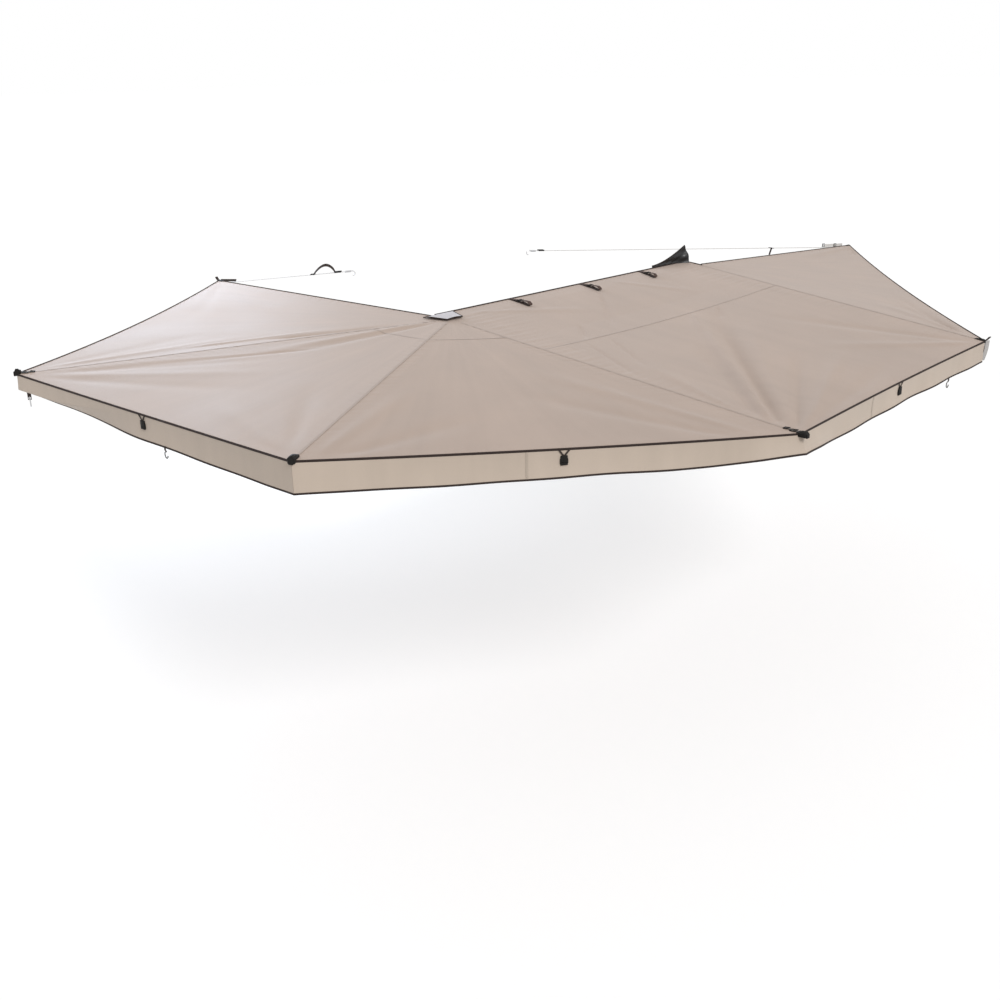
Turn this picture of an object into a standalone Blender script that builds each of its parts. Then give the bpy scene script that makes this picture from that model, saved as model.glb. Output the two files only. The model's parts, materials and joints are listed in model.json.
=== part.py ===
"""Wrap-around side awning, opened out, with its legs put away in the arms.

World frame, in metres: the origin is the middle of the middle bracket's mounting face,
+X runs forward along the backing rail, +Y points at the rack that carries the awning, +Z is up.
Six arms swing in a flat fan about two upright pivot pins. Each arm has a level of its own in
the stack, so that all six lie above each other along the rail when the canopy is folded.
"""
import math

import bmesh
import bpy
from mathutils import Matrix, Vector

# Main sizes
HUB_SPAN = 2.540            # between the two pivot axes
PIVOT_Y = -0.190            # pivot axes, out from the mounting face
ARM_LENGTH = 2.448          # pivot axis to the nose of an arm
FABRIC_LENGTH = ARM_LENGTH + 0.018      # pivot axis to a corner of the cloth
APEX_Z = 0.062              # underside of the cloth over a pivot
STACK_TOP = 0.022           # top of the highest arm
LEVEL_GAP = 0.003           # between two arms in the stack
MAIN_SIZE = 0.028           # width and height of a main arm
END_SIZE = 0.022            # width and height of an end arm
GAP = 0.0003                # between pieces that touch

# Arms from the top of the stack to the bottom: name, side of the rail, angle, kind
ARMS = (
    ("rear_end_arm", -1, -268.0, "end"),
    ("corner_arm", -1, -148.0, "main"),
    ("rear_arm", -1, -206.5, "main"),
    ("front_arm", 1, -102.0, "main"),
    ("front_end_arm", 1, 2.5, "end"),
    ("side_arm", -1, -91.5, "main"),
)

# Backing rail and its slots
RAIL_LENGTH = HUB_SPAN - 0.070
RAIL_DEPTH = 0.040
RAIL_HEIGHT = 0.130
RAIL_BACK = 0.035           # from the mounting face to the rail
RAIL_WALL = 0.004
SLOT_Z = 0.038              # height of a bolt slot above and below the rail's middle
SLOT_MOUTH = 0.009
SLOT_LIP = 0.003
SLOT_WIDTH = 0.016
SLOT_DEPTH = 0.009
GROOVE_RADIUS = 0.004
GROOVE_MOUTH = 0.003
GROOVE_INSET = 0.010        # groove centre, out from the rail's rack side

# Mounting brackets
BRACKET_X = RAIL_LENGTH / 2 - 0.285
BRACKET_WIDTH = 0.090
BRACKET_TOP = 0.052
BRACKET_DROP = 0.052        # rail leg, below the rail's middle
BRACKET_FOOT = 0.035        # rack leg, below the rail's middle
PLATE = 0.005
MOUNT_SLOT_LENGTH = 0.050
MOUNT_SLOT_WIDTH = 0.009
MOUNT_SLOT_Z = 0.022
BOLT_RADIUS = 0.004
HEX_RADIUS = 0.0075
HEX_HEIGHT = 0.0055
NUT_RADIUS_IN_SLOT = 0.0075
NUT_THICK = 0.004

# Hub brackets, pins and knuckles
HUB_PLATE = 0.010
HUB_PLATE_LENGTH = 0.130
HUB_PLATE_INSET = 0.036     # from the pivot axis to the near end of the plate
HUB_PLATE_TOP = 0.060
EAR_THICK = 0.010
EAR_RADIUS = 0.026
EAR_CLEAR = 0.003
EAR_BOSS = 0.006
EAR_INSET = 0.003           # of the ears, inside the plate's near and lower edges
RIB_THICK = 0.007
RIB_DEPTH = 0.026
PIN_RADIUS = 0.008
PIN_CLEAR = 0.0003
SPACER_RADIUS = 0.014
CAP_RADIUS = 0.024
CAP_TOP = 0.0560
NUT_RADIUS = 0.0135
NUT_HEIGHT = 0.011
KNUCKLE_RADIUS = 0.022
KNUCKLE_NECK = 0.046        # pivot axis to the arm's inner end
SHANK_LENGTH = 0.090
CHANNEL_WALL = 0.002
CHANNEL_BEAD = 0.0012
TUBE_WALL = 0.0018
FIT = 0.0003

# Legs
LEG_PIVOT = ARM_LENGTH - 0.060          # pivot axis to the leg's hinge
LEG_DROP = 0.0155           # leg's centre line, below the arm's top
LEG_RADIUS = 0.010
LEG_BORE = LEG_RADIUS - 0.0016
LEG_LENGTH = 1.140
COLLAR_RADIUS = LEG_RADIUS + 0.0010
COLLAR_LENGTH = 0.040
SLIDER_RADIUS = LEG_BORE - 0.0004
SLIDER_BORE = SLIDER_RADIUS - 0.0015
SLIDER_START = 0.160
SLIDER_END = 1.302
FOOT_RADIUS = COLLAR_RADIUS
FOOT_LENGTH = 0.030
FOOT_SOCKET = 0.018
HINGE_PIN = 0.003
EYE_FLAT = LEG_RADIUS - 0.0008          # half the width of the leg's eye
CHANNEL_END = ARM_LENGTH - 0.084
CAP_HALF = 0.0160
SLEEVE = 0.055

# Cloth
CLOTH = 0.0015
SEAM_GAP = 0.0008
CORNER_LIFT = 0.0020        # cloth above an arm's top at its corner
APEX_RADIUS = 0.018
RAIL_EDGE_Y = -0.043        # inner edge of the side panel, on the rail
PANEL_SAG = 0.022
SIDE_SAG = 0.030
SIDE_ROWS = 12
SIDE_COLUMNS = 16
SCALLOP = 0.016
VALANCE_DROP = 0.135
VALANCE_STOP = 0.004        # from a corner of the cloth to the end of a valance
VALANCE_FOLD = 0.007
VALANCE_WAVES = 9

# Bag and straps
SKIRT_LENGTH = HUB_SPAN - 2 * (HUB_PLATE_INSET + HUB_PLATE_LENGTH) - 0.068
SKIRT_DROP = 0.260
SKIRT_FOLD = 0.006
SKIRT_WAVES = 7
SKIRT_Z = 0.052             # top of the skirt, below the rail's middle
END_FLAP_BASE = 0.380
END_FLAP_RISE = 0.135
END_FLAP_X = HUB_SPAN / 2 + 0.005
STRAP_X = (-0.640, 0.060, 0.730)
STRAP_WIDTH = 0.030
STRAP_THICK = 0.002
COVER_X = (-HUB_SPAN / 2 - 0.115, -HUB_SPAN / 2 + 0.195)
COVER_REACH = 0.200
COVER_STEP = 0.005
COVER_LIFT = 0.0085
COVER_DROOP = 0.020
WEB_WIDTH = 0.025
WEB_THICK = 0.002
FRONT_ANCHOR = (0.880, 1.140, 0.085)
REAR_ANCHOR = (-0.720, 1.560, 0.085)
HOOK_LENGTH = 0.090
HOOK_WIRE = 0.0035
TIE_REACH = ARM_LENGTH - 0.023          # pivot axis to the middle of the tie strap
TIE_HEAD = 0.008            # top of the tie strap, below the arm's top
TIE_LENGTH = 0.145
TIE_EYE = 0.010             # eye, above the tie strap's lower end
CARABINER_WIRE = 0.0030
CARABINER_LENGTH = 0.058
CARABINER_WIDTH = 0.026
CARABINER_TOP = 0.0062      # centre-line radius of its narrow end
EYE_RADIUS = 0.0062         # eye in the tie strap
LUG_RADIUS = 0.012
LUG_OUT = 0.023             # strap lug, from the arm's centre line
LUG_BACK = 0.022            # strap lug, from the arm's nose

COLLECTION = "side_awning"
CUTTERS = "side_awning_cutters"

# Colour, metallic value and roughness of each material
FINISHES = {
    "anodised": ((0.62, 0.63, 0.64), 1.0, 0.36),
    "cast_black": ((0.025, 0.025, 0.027), 0.3, 0.50),
    "steel": ((0.55, 0.55, 0.56), 1.0, 0.28),
    "moulded_black": ((0.018, 0.018, 0.019), 0.0, 0.48),
    "rubber_black": ((0.022, 0.022, 0.022), 0.0, 0.80),
    "canvas": ((0.50, 0.42, 0.36), 0.0, 0.85),
    "valance_canvas": ((0.56, 0.48, 0.39), 0.0, 0.85),
    "flap_grey": ((0.60, 0.58, 0.60), 0.0, 0.80),
    "vinyl_black": ((0.015, 0.015, 0.017), 0.0, 0.30),
    "webbing": ((0.040, 0.030, 0.026), 0.0, 0.80),
}


# Scene helpers
def clear_scene():
    for old in list(bpy.data.objects):
        bpy.data.objects.remove(old, do_unlink=True)


def make_collection(name):
    group = bpy.data.collections.new(name)
    bpy.context.scene.collection.children.link(group)
    return group


def make_material(name):
    colour, metallic, roughness = FINISHES[name]
    material = bpy.data.materials.new(name)
    material.use_nodes = True
    shader = material.node_tree.nodes["Principled BSDF"]
    shader.inputs["Base Color"].default_value = (*colour, 1.0)
    shader.inputs["Metallic"].default_value = metallic
    shader.inputs["Roughness"].default_value = roughness
    return material


clear_scene()
PARTS = make_collection(COLLECTION)
TOOLS = make_collection(CUTTERS)
MATERIALS = {name: make_material(name) for name in FINISHES}


def place(piece, parent=None, at=(0, 0, 0), turn=(0, 0, 0)):
    piece.location = at
    piece.rotation_euler = turn
    piece.parent = parent
    return piece


def add_mesh(name, build, finish=None, parent=None, at=(0, 0, 0), turn=(0, 0, 0), tool=False):
    """A mesh object whose faces come from the bmesh function build."""
    mesh = bpy.data.meshes.new(name)
    work = bmesh.new()
    build(work)
    work.to_mesh(mesh)
    work.free()
    piece = bpy.data.objects.new(name, mesh)
    if tool:
        TOOLS.objects.link(piece)
        piece.hide_render = True
        piece.display_type = "WIRE"
    else:
        PARTS.objects.link(piece)
        mesh.materials.append(MATERIALS[finish])
        mesh.shade_smooth()
        mesh.set_sharp_from_angle(angle=math.radians(35))
    return place(piece, parent, at, turn)


def box(low, high):
    """A box between two corners."""
    low = Vector(low)
    high = Vector(high)

    def build(work):
        size = Matrix.Diagonal((*(high - low), 1.0))
        bmesh.ops.create_cube(work, size=1.0, matrix=Matrix.Translation((low + high) / 2) @ size)
    return build


def rod(radius, start, end, axis="Z", sides=20, tip_radius=None):
    """A capped cylinder or cone between two heights on one axis through the local origin."""
    turn = {"X": Matrix.Rotation(math.pi / 2, 4, "Y"),
            "Y": Matrix.Rotation(-math.pi / 2, 4, "X"),
            "Z": Matrix.Identity(4)}[axis]
    middle = Matrix.Translation((0, 0, (start + end) / 2))
    top = radius if tip_radius is None else tip_radius

    def build(work):
        bmesh.ops.create_cone(work, cap_ends=True, segments=sides, radius1=radius, radius2=top,
                              depth=end - start, matrix=turn @ middle)
    return build


def boolean(piece, tool, operation="DIFFERENCE"):
    cut = piece.modifiers.new(f"{operation.lower()} {tool.name}", "BOOLEAN")
    cut.object = tool
    cut.operation = operation
    cut.solver = "EXACT"
    return piece


def cut_with(piece, name, build, **where):
    return boolean(piece, add_mesh(name, build, tool=True, **where))


def join_with(piece, name, build, **where):
    return boolean(piece, add_mesh(name, build, tool=True, **where), "UNION")


def bevel(piece, width, segments=2, angle=40):
    edge = piece.modifiers.new("rounded edges", "BEVEL")
    edge.width = width
    edge.segments = segments
    edge.limit_method = "ANGLE"
    edge.angle_limit = math.radians(angle)
    return piece


def outline(name, loops, half, finish, parent=None, at=(0, 0, 0), turn=(0, 0, 0), tool=False):
    """A flat outline with holes, thickened by half on both sides, as a welded mesh."""
    curve = bpy.data.curves.new(name, "CURVE")
    curve.dimensions = "2D"
    curve.fill_mode = "BOTH"
    curve.extrude = half
    for loop in loops:
        line = curve.splines.new("POLY")
        line.points.add(len(loop) - 1)
        for point, (x, y) in zip(line.points, loop):
            point.co = (x, y, 0, 1)
        line.use_cyclic_u = True
    guide = bpy.data.objects.new(name + "_outline", curve)
    TOOLS.objects.link(guide)
    flat = bpy.data.meshes.new_from_object(
        guide.evaluated_get(bpy.context.evaluated_depsgraph_get()))
    bpy.data.objects.remove(guide)

    def build(work):
        work.from_mesh(flat)
        bmesh.ops.remove_doubles(work, verts=work.verts, dist=0.00001)
        bmesh.ops.recalc_face_normals(work, faces=work.faces)
    return add_mesh(name, build, finish, parent, at, turn, tool)


def turned(name, profile, finish, steps=16, parent=None, at=(0, 0, 0), turn=(0, 0, 0),
           tool=False):
    """A profile of (radius, height) points, from top to bottom, turned about local Z."""
    def build(work):
        verts = [work.verts.new((radius, 0, height)) for radius, height in profile]
        for first, second in zip(verts, verts[1:]):
            work.edges.new((first, second))
        if profile[0] == profile[-1]:
            bmesh.ops.remove_doubles(work, verts=work.verts, dist=0.00001)
    piece = add_mesh(name, build, finish, parent, at, turn, tool)
    lathe = piece.modifiers.new("turned", "SCREW")
    lathe.steps = steps
    lathe.render_steps = steps
    lathe.use_merge_vertices = True
    lathe.merge_threshold = 0.00001
    lathe.use_smooth_shade = True
    return piece


def wire(name, points, radius, finish, parent=None, at=(0, 0, 0), turn=(0, 0, 0), closed=False,
         tool=False):
    """A bent round wire along a list of points, as a welded mesh."""
    curve = bpy.data.curves.new(name, "CURVE")
    curve.dimensions = "3D"
    curve.bevel_depth = radius
    curve.bevel_resolution = 2
    curve.use_fill_caps = True
    line = curve.splines.new("POLY")
    line.points.add(len(points) - 1)
    for point, place_at in zip(line.points, points):
        point.co = (*place_at, 1)
    line.use_cyclic_u = closed
    guide = bpy.data.objects.new(name + "_line", curve)
    TOOLS.objects.link(guide)
    solid = bpy.data.meshes.new_from_object(
        guide.evaluated_get(bpy.context.evaluated_depsgraph_get()))
    bpy.data.objects.remove(guide)

    def build(work):
        work.from_mesh(solid)
        bmesh.ops.remove_doubles(work, verts=work.verts, dist=0.00001)
        bmesh.ops.recalc_face_normals(work, faces=work.faces)
    return add_mesh(name, build, finish, parent, at, turn, tool)


def arc(centre, radius, start, end, count):
    """Points on an arc between two angles in degrees."""
    angles = [math.radians(start + (end - start) * k / (count - 1)) for k in range(count)]
    return [(centre[0] + radius * math.cos(a), centre[1] + radius * math.sin(a)) for a in angles]


# Levels of the stack, as name to (top, bottom)
def stack_levels():
    levels = {}
    top = STACK_TOP
    for name, _, _, kind in ARMS:
        bottom = top - (MAIN_SIZE if kind == "main" else END_SIZE)
        levels[name] = (top, bottom)
        top = bottom - LEVEL_GAP
    return levels


LEVELS = stack_levels()
STACK_BOTTOM = min(bottom for _, bottom in LEVELS.values())
UPPER_EAR = STACK_TOP + EAR_CLEAR
LOWER_EAR = STACK_BOTTOM - EAR_CLEAR
RAIL_OUT = -(RAIL_BACK + RAIL_DEPTH)
RAIL_TOP = RAIL_HEIGHT / 2
TO_SECTION = Matrix(((0, 0, 1), (1, 0, 0), (0, 1, 0))).to_euler()   # outline x, y to world y, z


def hub_x(side):
    return side * HUB_SPAN / 2


# Rail, brackets and hubs
def bolt_slot(face, height, inward):
    """Points of a T-shaped bolt slot in a rail face, from its lower to its upper lip."""
    mouth = SLOT_MOUTH / 2
    wide = SLOT_WIDTH / 2
    lip = face + inward * SLOT_LIP
    deep = face + inward * SLOT_DEPTH
    half = [(face, -mouth), (lip, -mouth), (lip, -wide), (deep, -wide)]
    return ([(y, height + z) for y, z in half]
            + [(y, height - z) for y, z in reversed(half)])


def backing_rail():
    rack_side = -RAIL_BACK
    half = RAIL_HEIGHT / 2
    groove = rack_side - GROOVE_INSET
    mouth = math.degrees(math.asin(GROOVE_MOUTH / 2 / GROOVE_RADIUS))
    keyhole = arc((groove, half - GROOVE_RADIUS - RAIL_WALL / 2), GROOVE_RADIUS,
                  90 - mouth, 90 + mouth - 360, 9)
    outer = [(rack_side, -half)]
    for height in (-SLOT_Z, SLOT_Z):
        outer += bolt_slot(rack_side, height, -1)
    outer += [(rack_side, half), (groove + GROOVE_MOUTH / 2, half)]
    outer += keyhole
    outer += [(groove - GROOVE_MOUTH / 2, half), (RAIL_OUT, half)]
    for height in (SLOT_Z, -SLOT_Z):
        outer += list(reversed(bolt_slot(RAIL_OUT, height, 1)))
    outer.append((RAIL_OUT, -half))
    inner_half = SLOT_Z - SLOT_WIDTH / 2 - RAIL_WALL
    hollow = [(RAIL_OUT + RAIL_WALL, -inner_half), (rack_side - RAIL_WALL, -inner_half),
              (rack_side - RAIL_WALL, inner_half), (RAIL_OUT + RAIL_WALL, inner_half)]
    outline("backing_rail", [outer, hollow], RAIL_LENGTH / 2, "anodised", turn=TO_SECTION)


def slot_bolt(piece, name, x, face, height, out, grip):
    """A hexagon bolt with its slot nut, joined to the piece that it holds to the rail.

    face is the rail face, out is the direction away from the rail along Y, and grip is how far
    the bolt's head sits from that face.
    """
    nut = -SLOT_LIP - FIT
    profile = [(0, grip + HEX_HEIGHT), (HEX_RADIUS, grip + HEX_HEIGHT),
               (HEX_RADIUS, grip - 0.001), (BOLT_RADIUS, grip - 0.001), (BOLT_RADIUS, nut),
               (NUT_RADIUS_IN_SLOT, nut), (NUT_RADIUS_IN_SLOT, nut - NUT_THICK),
               (0, nut - NUT_THICK)]
    boolean(piece, turned(name, profile, None, 6, at=(x, face, height),
                          turn=(-out * math.pi / 2, 0, 0), tool=True), "UNION")


def mount_bracket(name, x):
    """A folded bracket: one leg on the rail, a web over it, one leg on the rack."""
    rail_leg = -RAIL_BACK + GAP
    section = [(0, BRACKET_TOP), (rail_leg, BRACKET_TOP), (rail_leg, -BRACKET_DROP),
               (rail_leg + PLATE, -BRACKET_DROP), (rail_leg + PLATE, BRACKET_TOP - PLATE),
               (-PLATE, BRACKET_TOP - PLATE), (-PLATE, -BRACKET_FOOT), (0, -BRACKET_FOOT)]
    piece = outline(name, [section], BRACKET_WIDTH / 2, "cast_black", at=(x, 0, 0),
                    turn=TO_SECTION)
    straight = (MOUNT_SLOT_LENGTH - MOUNT_SLOT_WIDTH) / 2
    radius = MOUNT_SLOT_WIDTH / 2
    loop = arc((straight, 0), radius, -90, 90, 7) + arc((-straight, 0), radius, 90, 270, 7)
    slot = outline(name + "_slot", [loop], PLATE * 2, None, at=(x, 0, MOUNT_SLOT_Z),
                   turn=(math.pi / 2, 0, 0), tool=True)
    boolean(piece, slot)
    for row, height in enumerate((-SLOT_Z, SLOT_Z)):
        slot_bolt(piece, f"{name}_bolt_{row}", x, -RAIL_BACK, height, 1, GAP + PLATE)


def hub_bracket(name, side):
    """A cast plate on the rail with two ears that carry the pivot pin."""
    x = hub_x(side)
    near = -side * HUB_PLATE_INSET
    far = -side * (HUB_PLATE_INSET + HUB_PLATE_LENGTH)
    plate_back = RAIL_OUT - GAP
    plate_front = plate_back - HUB_PLATE
    bottom = LOWER_EAR - EAR_THICK
    low_x, high_x = sorted((x + near, x + far))
    piece = add_mesh(name, box((low_x, plate_front, bottom - EAR_INSET),
                               (high_x, plate_back, HUB_PLATE_TOP)), "cast_black")
    root = plate_front - PIVOT_Y + HUB_PLATE / 2
    ear_far = near + (far - near) * 0.8
    sweep = arc((0, 0), EAR_RADIUS, 100, 305, 14)
    ear_near = near - side * EAR_INSET
    loop = [(ear_near, root)] + [(-side * px, py) for px, py in sweep] + [(ear_far, root)]
    for ear, height in (("upper", UPPER_EAR + EAR_THICK / 2), ("lower", LOWER_EAR - EAR_THICK / 2)):
        boolean(piece, outline(f"{name}_{ear}_ear", [loop], EAR_THICK / 2, None,
                               at=(x, PIVOT_Y, height), tool=True), "UNION")
    depth = PIVOT_Y + EAR_RADIUS * 0.4
    rib_x = x + (near + far) / 2 * 0.62
    top_rib = [(plate_front + 0.002, UPPER_EAR + EAR_THICK - 0.001), (plate_front + 0.002, HUB_PLATE_TOP - 0.002),
               (plate_front - 0.003, HUB_PLATE_TOP - 0.002), (plate_front - RIB_DEPTH, UPPER_EAR + EAR_THICK - 0.001)]
    boolean(piece, outline(name + "_top_rib", [top_rib], RIB_THICK / 2, None, at=(rib_x, 0, 0),
                           turn=TO_SECTION, tool=True), "UNION")
    join_with(piece, name + "_boss",
              rod(EAR_RADIUS * 0.75, bottom - EAR_BOSS, bottom + 0.002), at=(x, PIVOT_Y, 0))
    cut_with(piece, name + "_bore",
             rod(PIN_RADIUS + PIN_CLEAR, bottom - 2 * EAR_BOSS, UPPER_EAR + 2 * EAR_THICK),
             at=(x, PIVOT_Y, 0))
    for row, height in enumerate((-SLOT_Z, SLOT_Z)):
        for column in (0.25, 0.75):
            bolt_x = x + near + (far - near) * column
            slot_bolt(piece, f"{name}_bolt_{row}_{column}", bolt_x, RAIL_OUT, height, -1,
                      GAP + HUB_PLATE)


def pivot_pin(name, side):
    """The pin, with spacers at the levels that its hub leaves free, its cap and its nut."""
    free = [LEVELS[arm] for arm, at_side, _, _ in ARMS if at_side != side]
    cap_base = UPPER_EAR + EAR_THICK + GAP
    nut_top = LOWER_EAR - EAR_THICK - EAR_BOSS - GAP
    dome = [(CAP_RADIUS * math.sin(math.radians(a)),
             CAP_TOP - (CAP_TOP - cap_base) * (1 - math.cos(math.radians(a))))
            for a in (0, 25, 50, 70, 90)]
    profile = dome + [(PIN_RADIUS, cap_base)]
    for top, bottom in free:
        profile += [(PIN_RADIUS, top), (SPACER_RADIUS, top), (SPACER_RADIUS, bottom),
                    (PIN_RADIUS, bottom)]
    profile += [(PIN_RADIUS, nut_top), (NUT_RADIUS, nut_top), (NUT_RADIUS, nut_top - NUT_HEIGHT),
                (0, nut_top - NUT_HEIGHT)]
    turned(name, profile, "steel", 20, at=(hub_x(side), PIVOT_Y, 0))


# Arms and legs
def arm_frame(name, side, angle):
    """An empty on the pivot axis, whose local X runs along the arm."""
    frame = bpy.data.objects.new(name + "_pivot", None)
    PARTS.objects.link(frame)
    return place(frame, at=(hub_x(side), PIVOT_Y, 0), turn=(0, 0, math.radians(angle)))


def knuckle(name, frame, top, bottom, inner_width, inner_top, inner_bottom):
    """The ring on the pin, the neck, and the shank that fills the arm's inner end."""
    half = (top - bottom) / 2
    piece = add_mesh(name, rod(KNUCKLE_RADIUS, bottom, top, sides=28), "cast_black", frame)
    join_with(piece, name + "_neck", box((0, -half + 0.0005, bottom + 0.0005),
                                         (KNUCKLE_NECK - GAP, half - 0.0005, top - 0.0005)), parent=frame)
    join_with(piece, name + "_shank",
              box((KNUCKLE_NECK - 0.010, -inner_width / 2 + FIT, inner_bottom + FIT),
                  (KNUCKLE_NECK + SHANK_LENGTH, inner_width / 2 - FIT, inner_top - FIT)),
              parent=frame)
    cut_with(piece, name + "_bore", rod(PIN_RADIUS + PIN_CLEAR, bottom - 0.01, top + 0.01),
             parent=frame)


def main_channel(name, frame, top, bottom):
    """An open-bottomed channel with a bead along each lower edge."""
    half = MAIN_SIZE / 2
    inner = half - CHANNEL_WALL
    bead = half - CHANNEL_WALL - CHANNEL_BEAD / 2
    height = top - bottom
    edge = CHANNEL_WALL / 2
    right = [(half - edge, 0), (half, -edge), (half, -height), (bead, -height),
             (bead, -height + CHANNEL_BEAD), (inner, -height + 2 * CHANNEL_BEAD),
             (inner, -CHANNEL_WALL)]
    loop = right + [(-y, z) for y, z in reversed(right)]
    length = CHANNEL_END - KNUCKLE_NECK
    piece = outline(name, [loop], length / 2, "anodised", frame,
                    at=(KNUCKLE_NECK + length / 2, 0, top), turn=TO_SECTION)
    for index, where in enumerate((0.030, 0.070)):
        for out in (-1, 1):
            reach = sorted((out * (half - 0.0005), out * (half + 0.0018)))
            join_with(piece, f"{name}_rivet_{index}_{out}",
                      rod(0.0045, reach[0], reach[1], "Y", 10), parent=frame,
                      at=(KNUCKLE_NECK + where, 0, top - MAIN_SIZE / 2))


def main_cap(name, frame, top, bottom):
    """The moulded end: a nose, two cheeks beside the leg's eye, and the leg's hinge pin."""
    start = CHANNEL_END + GAP
    leg_z = top - LEG_DROP
    piece = add_mesh(name, box((start, -CAP_HALF, bottom), (ARM_LENGTH, CAP_HALF, top)),
                     "moulded_black", frame)
    bevel(piece, 0.005, 2)
    room = LEG_RADIUS + 0.0008
    cut_with(piece, name + "_eye_room", box((start - 0.02, -EYE_FLAT - FIT, bottom - 0.01),
                                            (LEG_PIVOT + room, EYE_FLAT + FIT, leg_z + room)),
             parent=frame)
    tongue_top = top - CHANNEL_WALL - FIT
    join_with(piece, name + "_tongue",
              box((start - SLEEVE, -EYE_FLAT, leg_z + LEG_RADIUS + 0.0006),
                  (start + 0.006, EYE_FLAT, tongue_top)), parent=frame)
    join_with(piece, name + "_hinge_pin",
              rod(HINGE_PIN, -CAP_HALF - 0.001, CAP_HALF + 0.001, "Y", 12), parent=frame,
              at=(LEG_PIVOT, 0, leg_z))


def leg(name, frame, top):
    """The leg, put away in the channel: local Z of its pieces runs from the hinge to the foot."""
    hinge = bpy.data.objects.new(name + "_leg_hinge", None)
    PARTS.objects.link(hinge)
    place(hinge, frame, at=(LEG_PIVOT, 0, top - LEG_DROP))
    along = (0, -math.pi / 2, 0)
    plug = 0.030
    tube = [(LEG_BORE, plug), (0, plug), (0, 0), (LEG_RADIUS, 0),
            (LEG_RADIUS, LEG_LENGTH - COLLAR_LENGTH),
            (COLLAR_RADIUS, LEG_LENGTH - COLLAR_LENGTH + 0.004), (COLLAR_RADIUS, LEG_LENGTH),
            (LEG_BORE, LEG_LENGTH), (LEG_BORE, plug)]
    piece = turned(name + "_leg_tube", list(reversed(tube)), "anodised", 16, hinge, turn=along)
    join_with(piece, name + "_leg_eye", rod(LEG_RADIUS, -EYE_FLAT, EYE_FLAT, "Y", 20),
              parent=hinge)
    for out in (-1, 1):
        side = sorted((out * EYE_FLAT, out * 2 * LEG_RADIUS))
        cut_with(piece, f"{name}_leg_flat_{out}",
                 box((-0.028, side[0], -0.02), (0.016, side[1], 0.02)), parent=hinge)
    cut_with(piece, name + "_leg_bore", rod(HINGE_PIN + FIT, -0.02, 0.02, "Y", 12), parent=hinge)
    slider = [(0, SLIDER_END), (SLIDER_RADIUS, SLIDER_END), (SLIDER_RADIUS, SLIDER_START),
              (SLIDER_BORE, SLIDER_START), (SLIDER_BORE, SLIDER_END - 0.01),
              (0, SLIDER_END - 0.01)]
    turned(name + "_leg_slider", slider, "anodised", 14, hinge, turn=along)
    seat = SLIDER_END + GAP
    tip = seat - FOOT_SOCKET + FOOT_LENGTH
    foot = [(0, tip), (FOOT_RADIUS - 0.002, tip), (FOOT_RADIUS, tip - 0.003),
            (FOOT_RADIUS, tip - FOOT_LENGTH + 0.002),
            (FOOT_RADIUS - 0.0015, tip - FOOT_LENGTH),
            (SLIDER_RADIUS + FIT, tip - FOOT_LENGTH), (SLIDER_RADIUS + FIT, seat), (0, seat)]
    turned(name + "_leg_foot", foot, "rubber_black", 16, hinge, turn=along)


def end_tube(name, frame, top):
    half = END_SIZE / 2
    wall = half - TUBE_WALL
    edge = TUBE_WALL * 0.8
    square = [(half - edge, half), (edge - half, half), (-half, half - edge), (-half, edge - half),
              (edge - half, -half), (half - edge, -half), (half, edge - half), (half, half - edge)]
    hollow = [(wall, wall), (-wall, wall), (-wall, -wall), (wall, -wall)]
    length = CHANNEL_END - KNUCKLE_NECK
    outline(name, [square, hollow], length / 2, "anodised", frame,
            at=(KNUCKLE_NECK + length / 2, 0, top - half), turn=TO_SECTION)


def end_cap(name, frame, top, bottom, lug_side):
    """The moulded end of an end arm, with the eye that the tension strap pulls on."""
    start = CHANNEL_END + GAP
    plug = END_SIZE / 2 - TUBE_WALL - FIT
    middle = (top + bottom) / 2
    piece = add_mesh(name, box((start, -CAP_HALF + 0.003, bottom), (ARM_LENGTH, CAP_HALF - 0.003, top)),
                     "moulded_black", frame)
    bevel(piece, 0.004, 2)
    join_with(piece, name + "_plug", box((start - SLEEVE, -plug, middle - plug),
                                         (start + 0.01, plug, middle + plug)), parent=frame)
    lug_x = ARM_LENGTH - LUG_BACK
    neck = sorted((0, lug_side * LUG_OUT))
    join_with(piece, name + "_lug", rod(LUG_RADIUS, middle - 0.004, middle + 0.004), parent=frame,
              at=(lug_x, lug_side * LUG_OUT, 0))
    join_with(piece, name + "_lug_neck",
              box((lug_x - 0.010, neck[0], middle - 0.0038), (lug_x + 0.010, neck[1], middle + 0.0038)),
              parent=frame)
    cut_with(piece, name + "_eye", rod(0.006, middle - 0.01, middle + 0.01, sides=16),
             parent=frame, at=(lug_x, lug_side * (LUG_OUT + 0.001), 0))


def build_arm(name, side, angle, kind):
    top, bottom = LEVELS[name]
    frame = arm_frame(name, side, angle)
    if kind == "main":
        knuckle(name + "_knuckle", frame, top, bottom, MAIN_SIZE - 2 * CHANNEL_WALL,
                top - CHANNEL_WALL, bottom + 2 * CHANNEL_BEAD)
        main_channel(name + "_channel", frame, top, bottom)
        main_cap(name + "_tip_cap", frame, top, bottom)
        leg(name, frame, top)
    else:
        knuckle(name + "_knuckle", frame, top, bottom, END_SIZE - 2 * TUBE_WALL,
                top - TUBE_WALL, bottom + TUBE_WALL)
        end_tube(name + "_tube", frame, top)
        end_cap(name + "_tip_cap", frame, top, bottom, side)


# Cloth
ARM_ANGLES = {name: math.radians(angle) for name, _, angle, _ in ARMS}
ARM_SIDES = {name: side for name, side, _, _ in ARMS}


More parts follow.
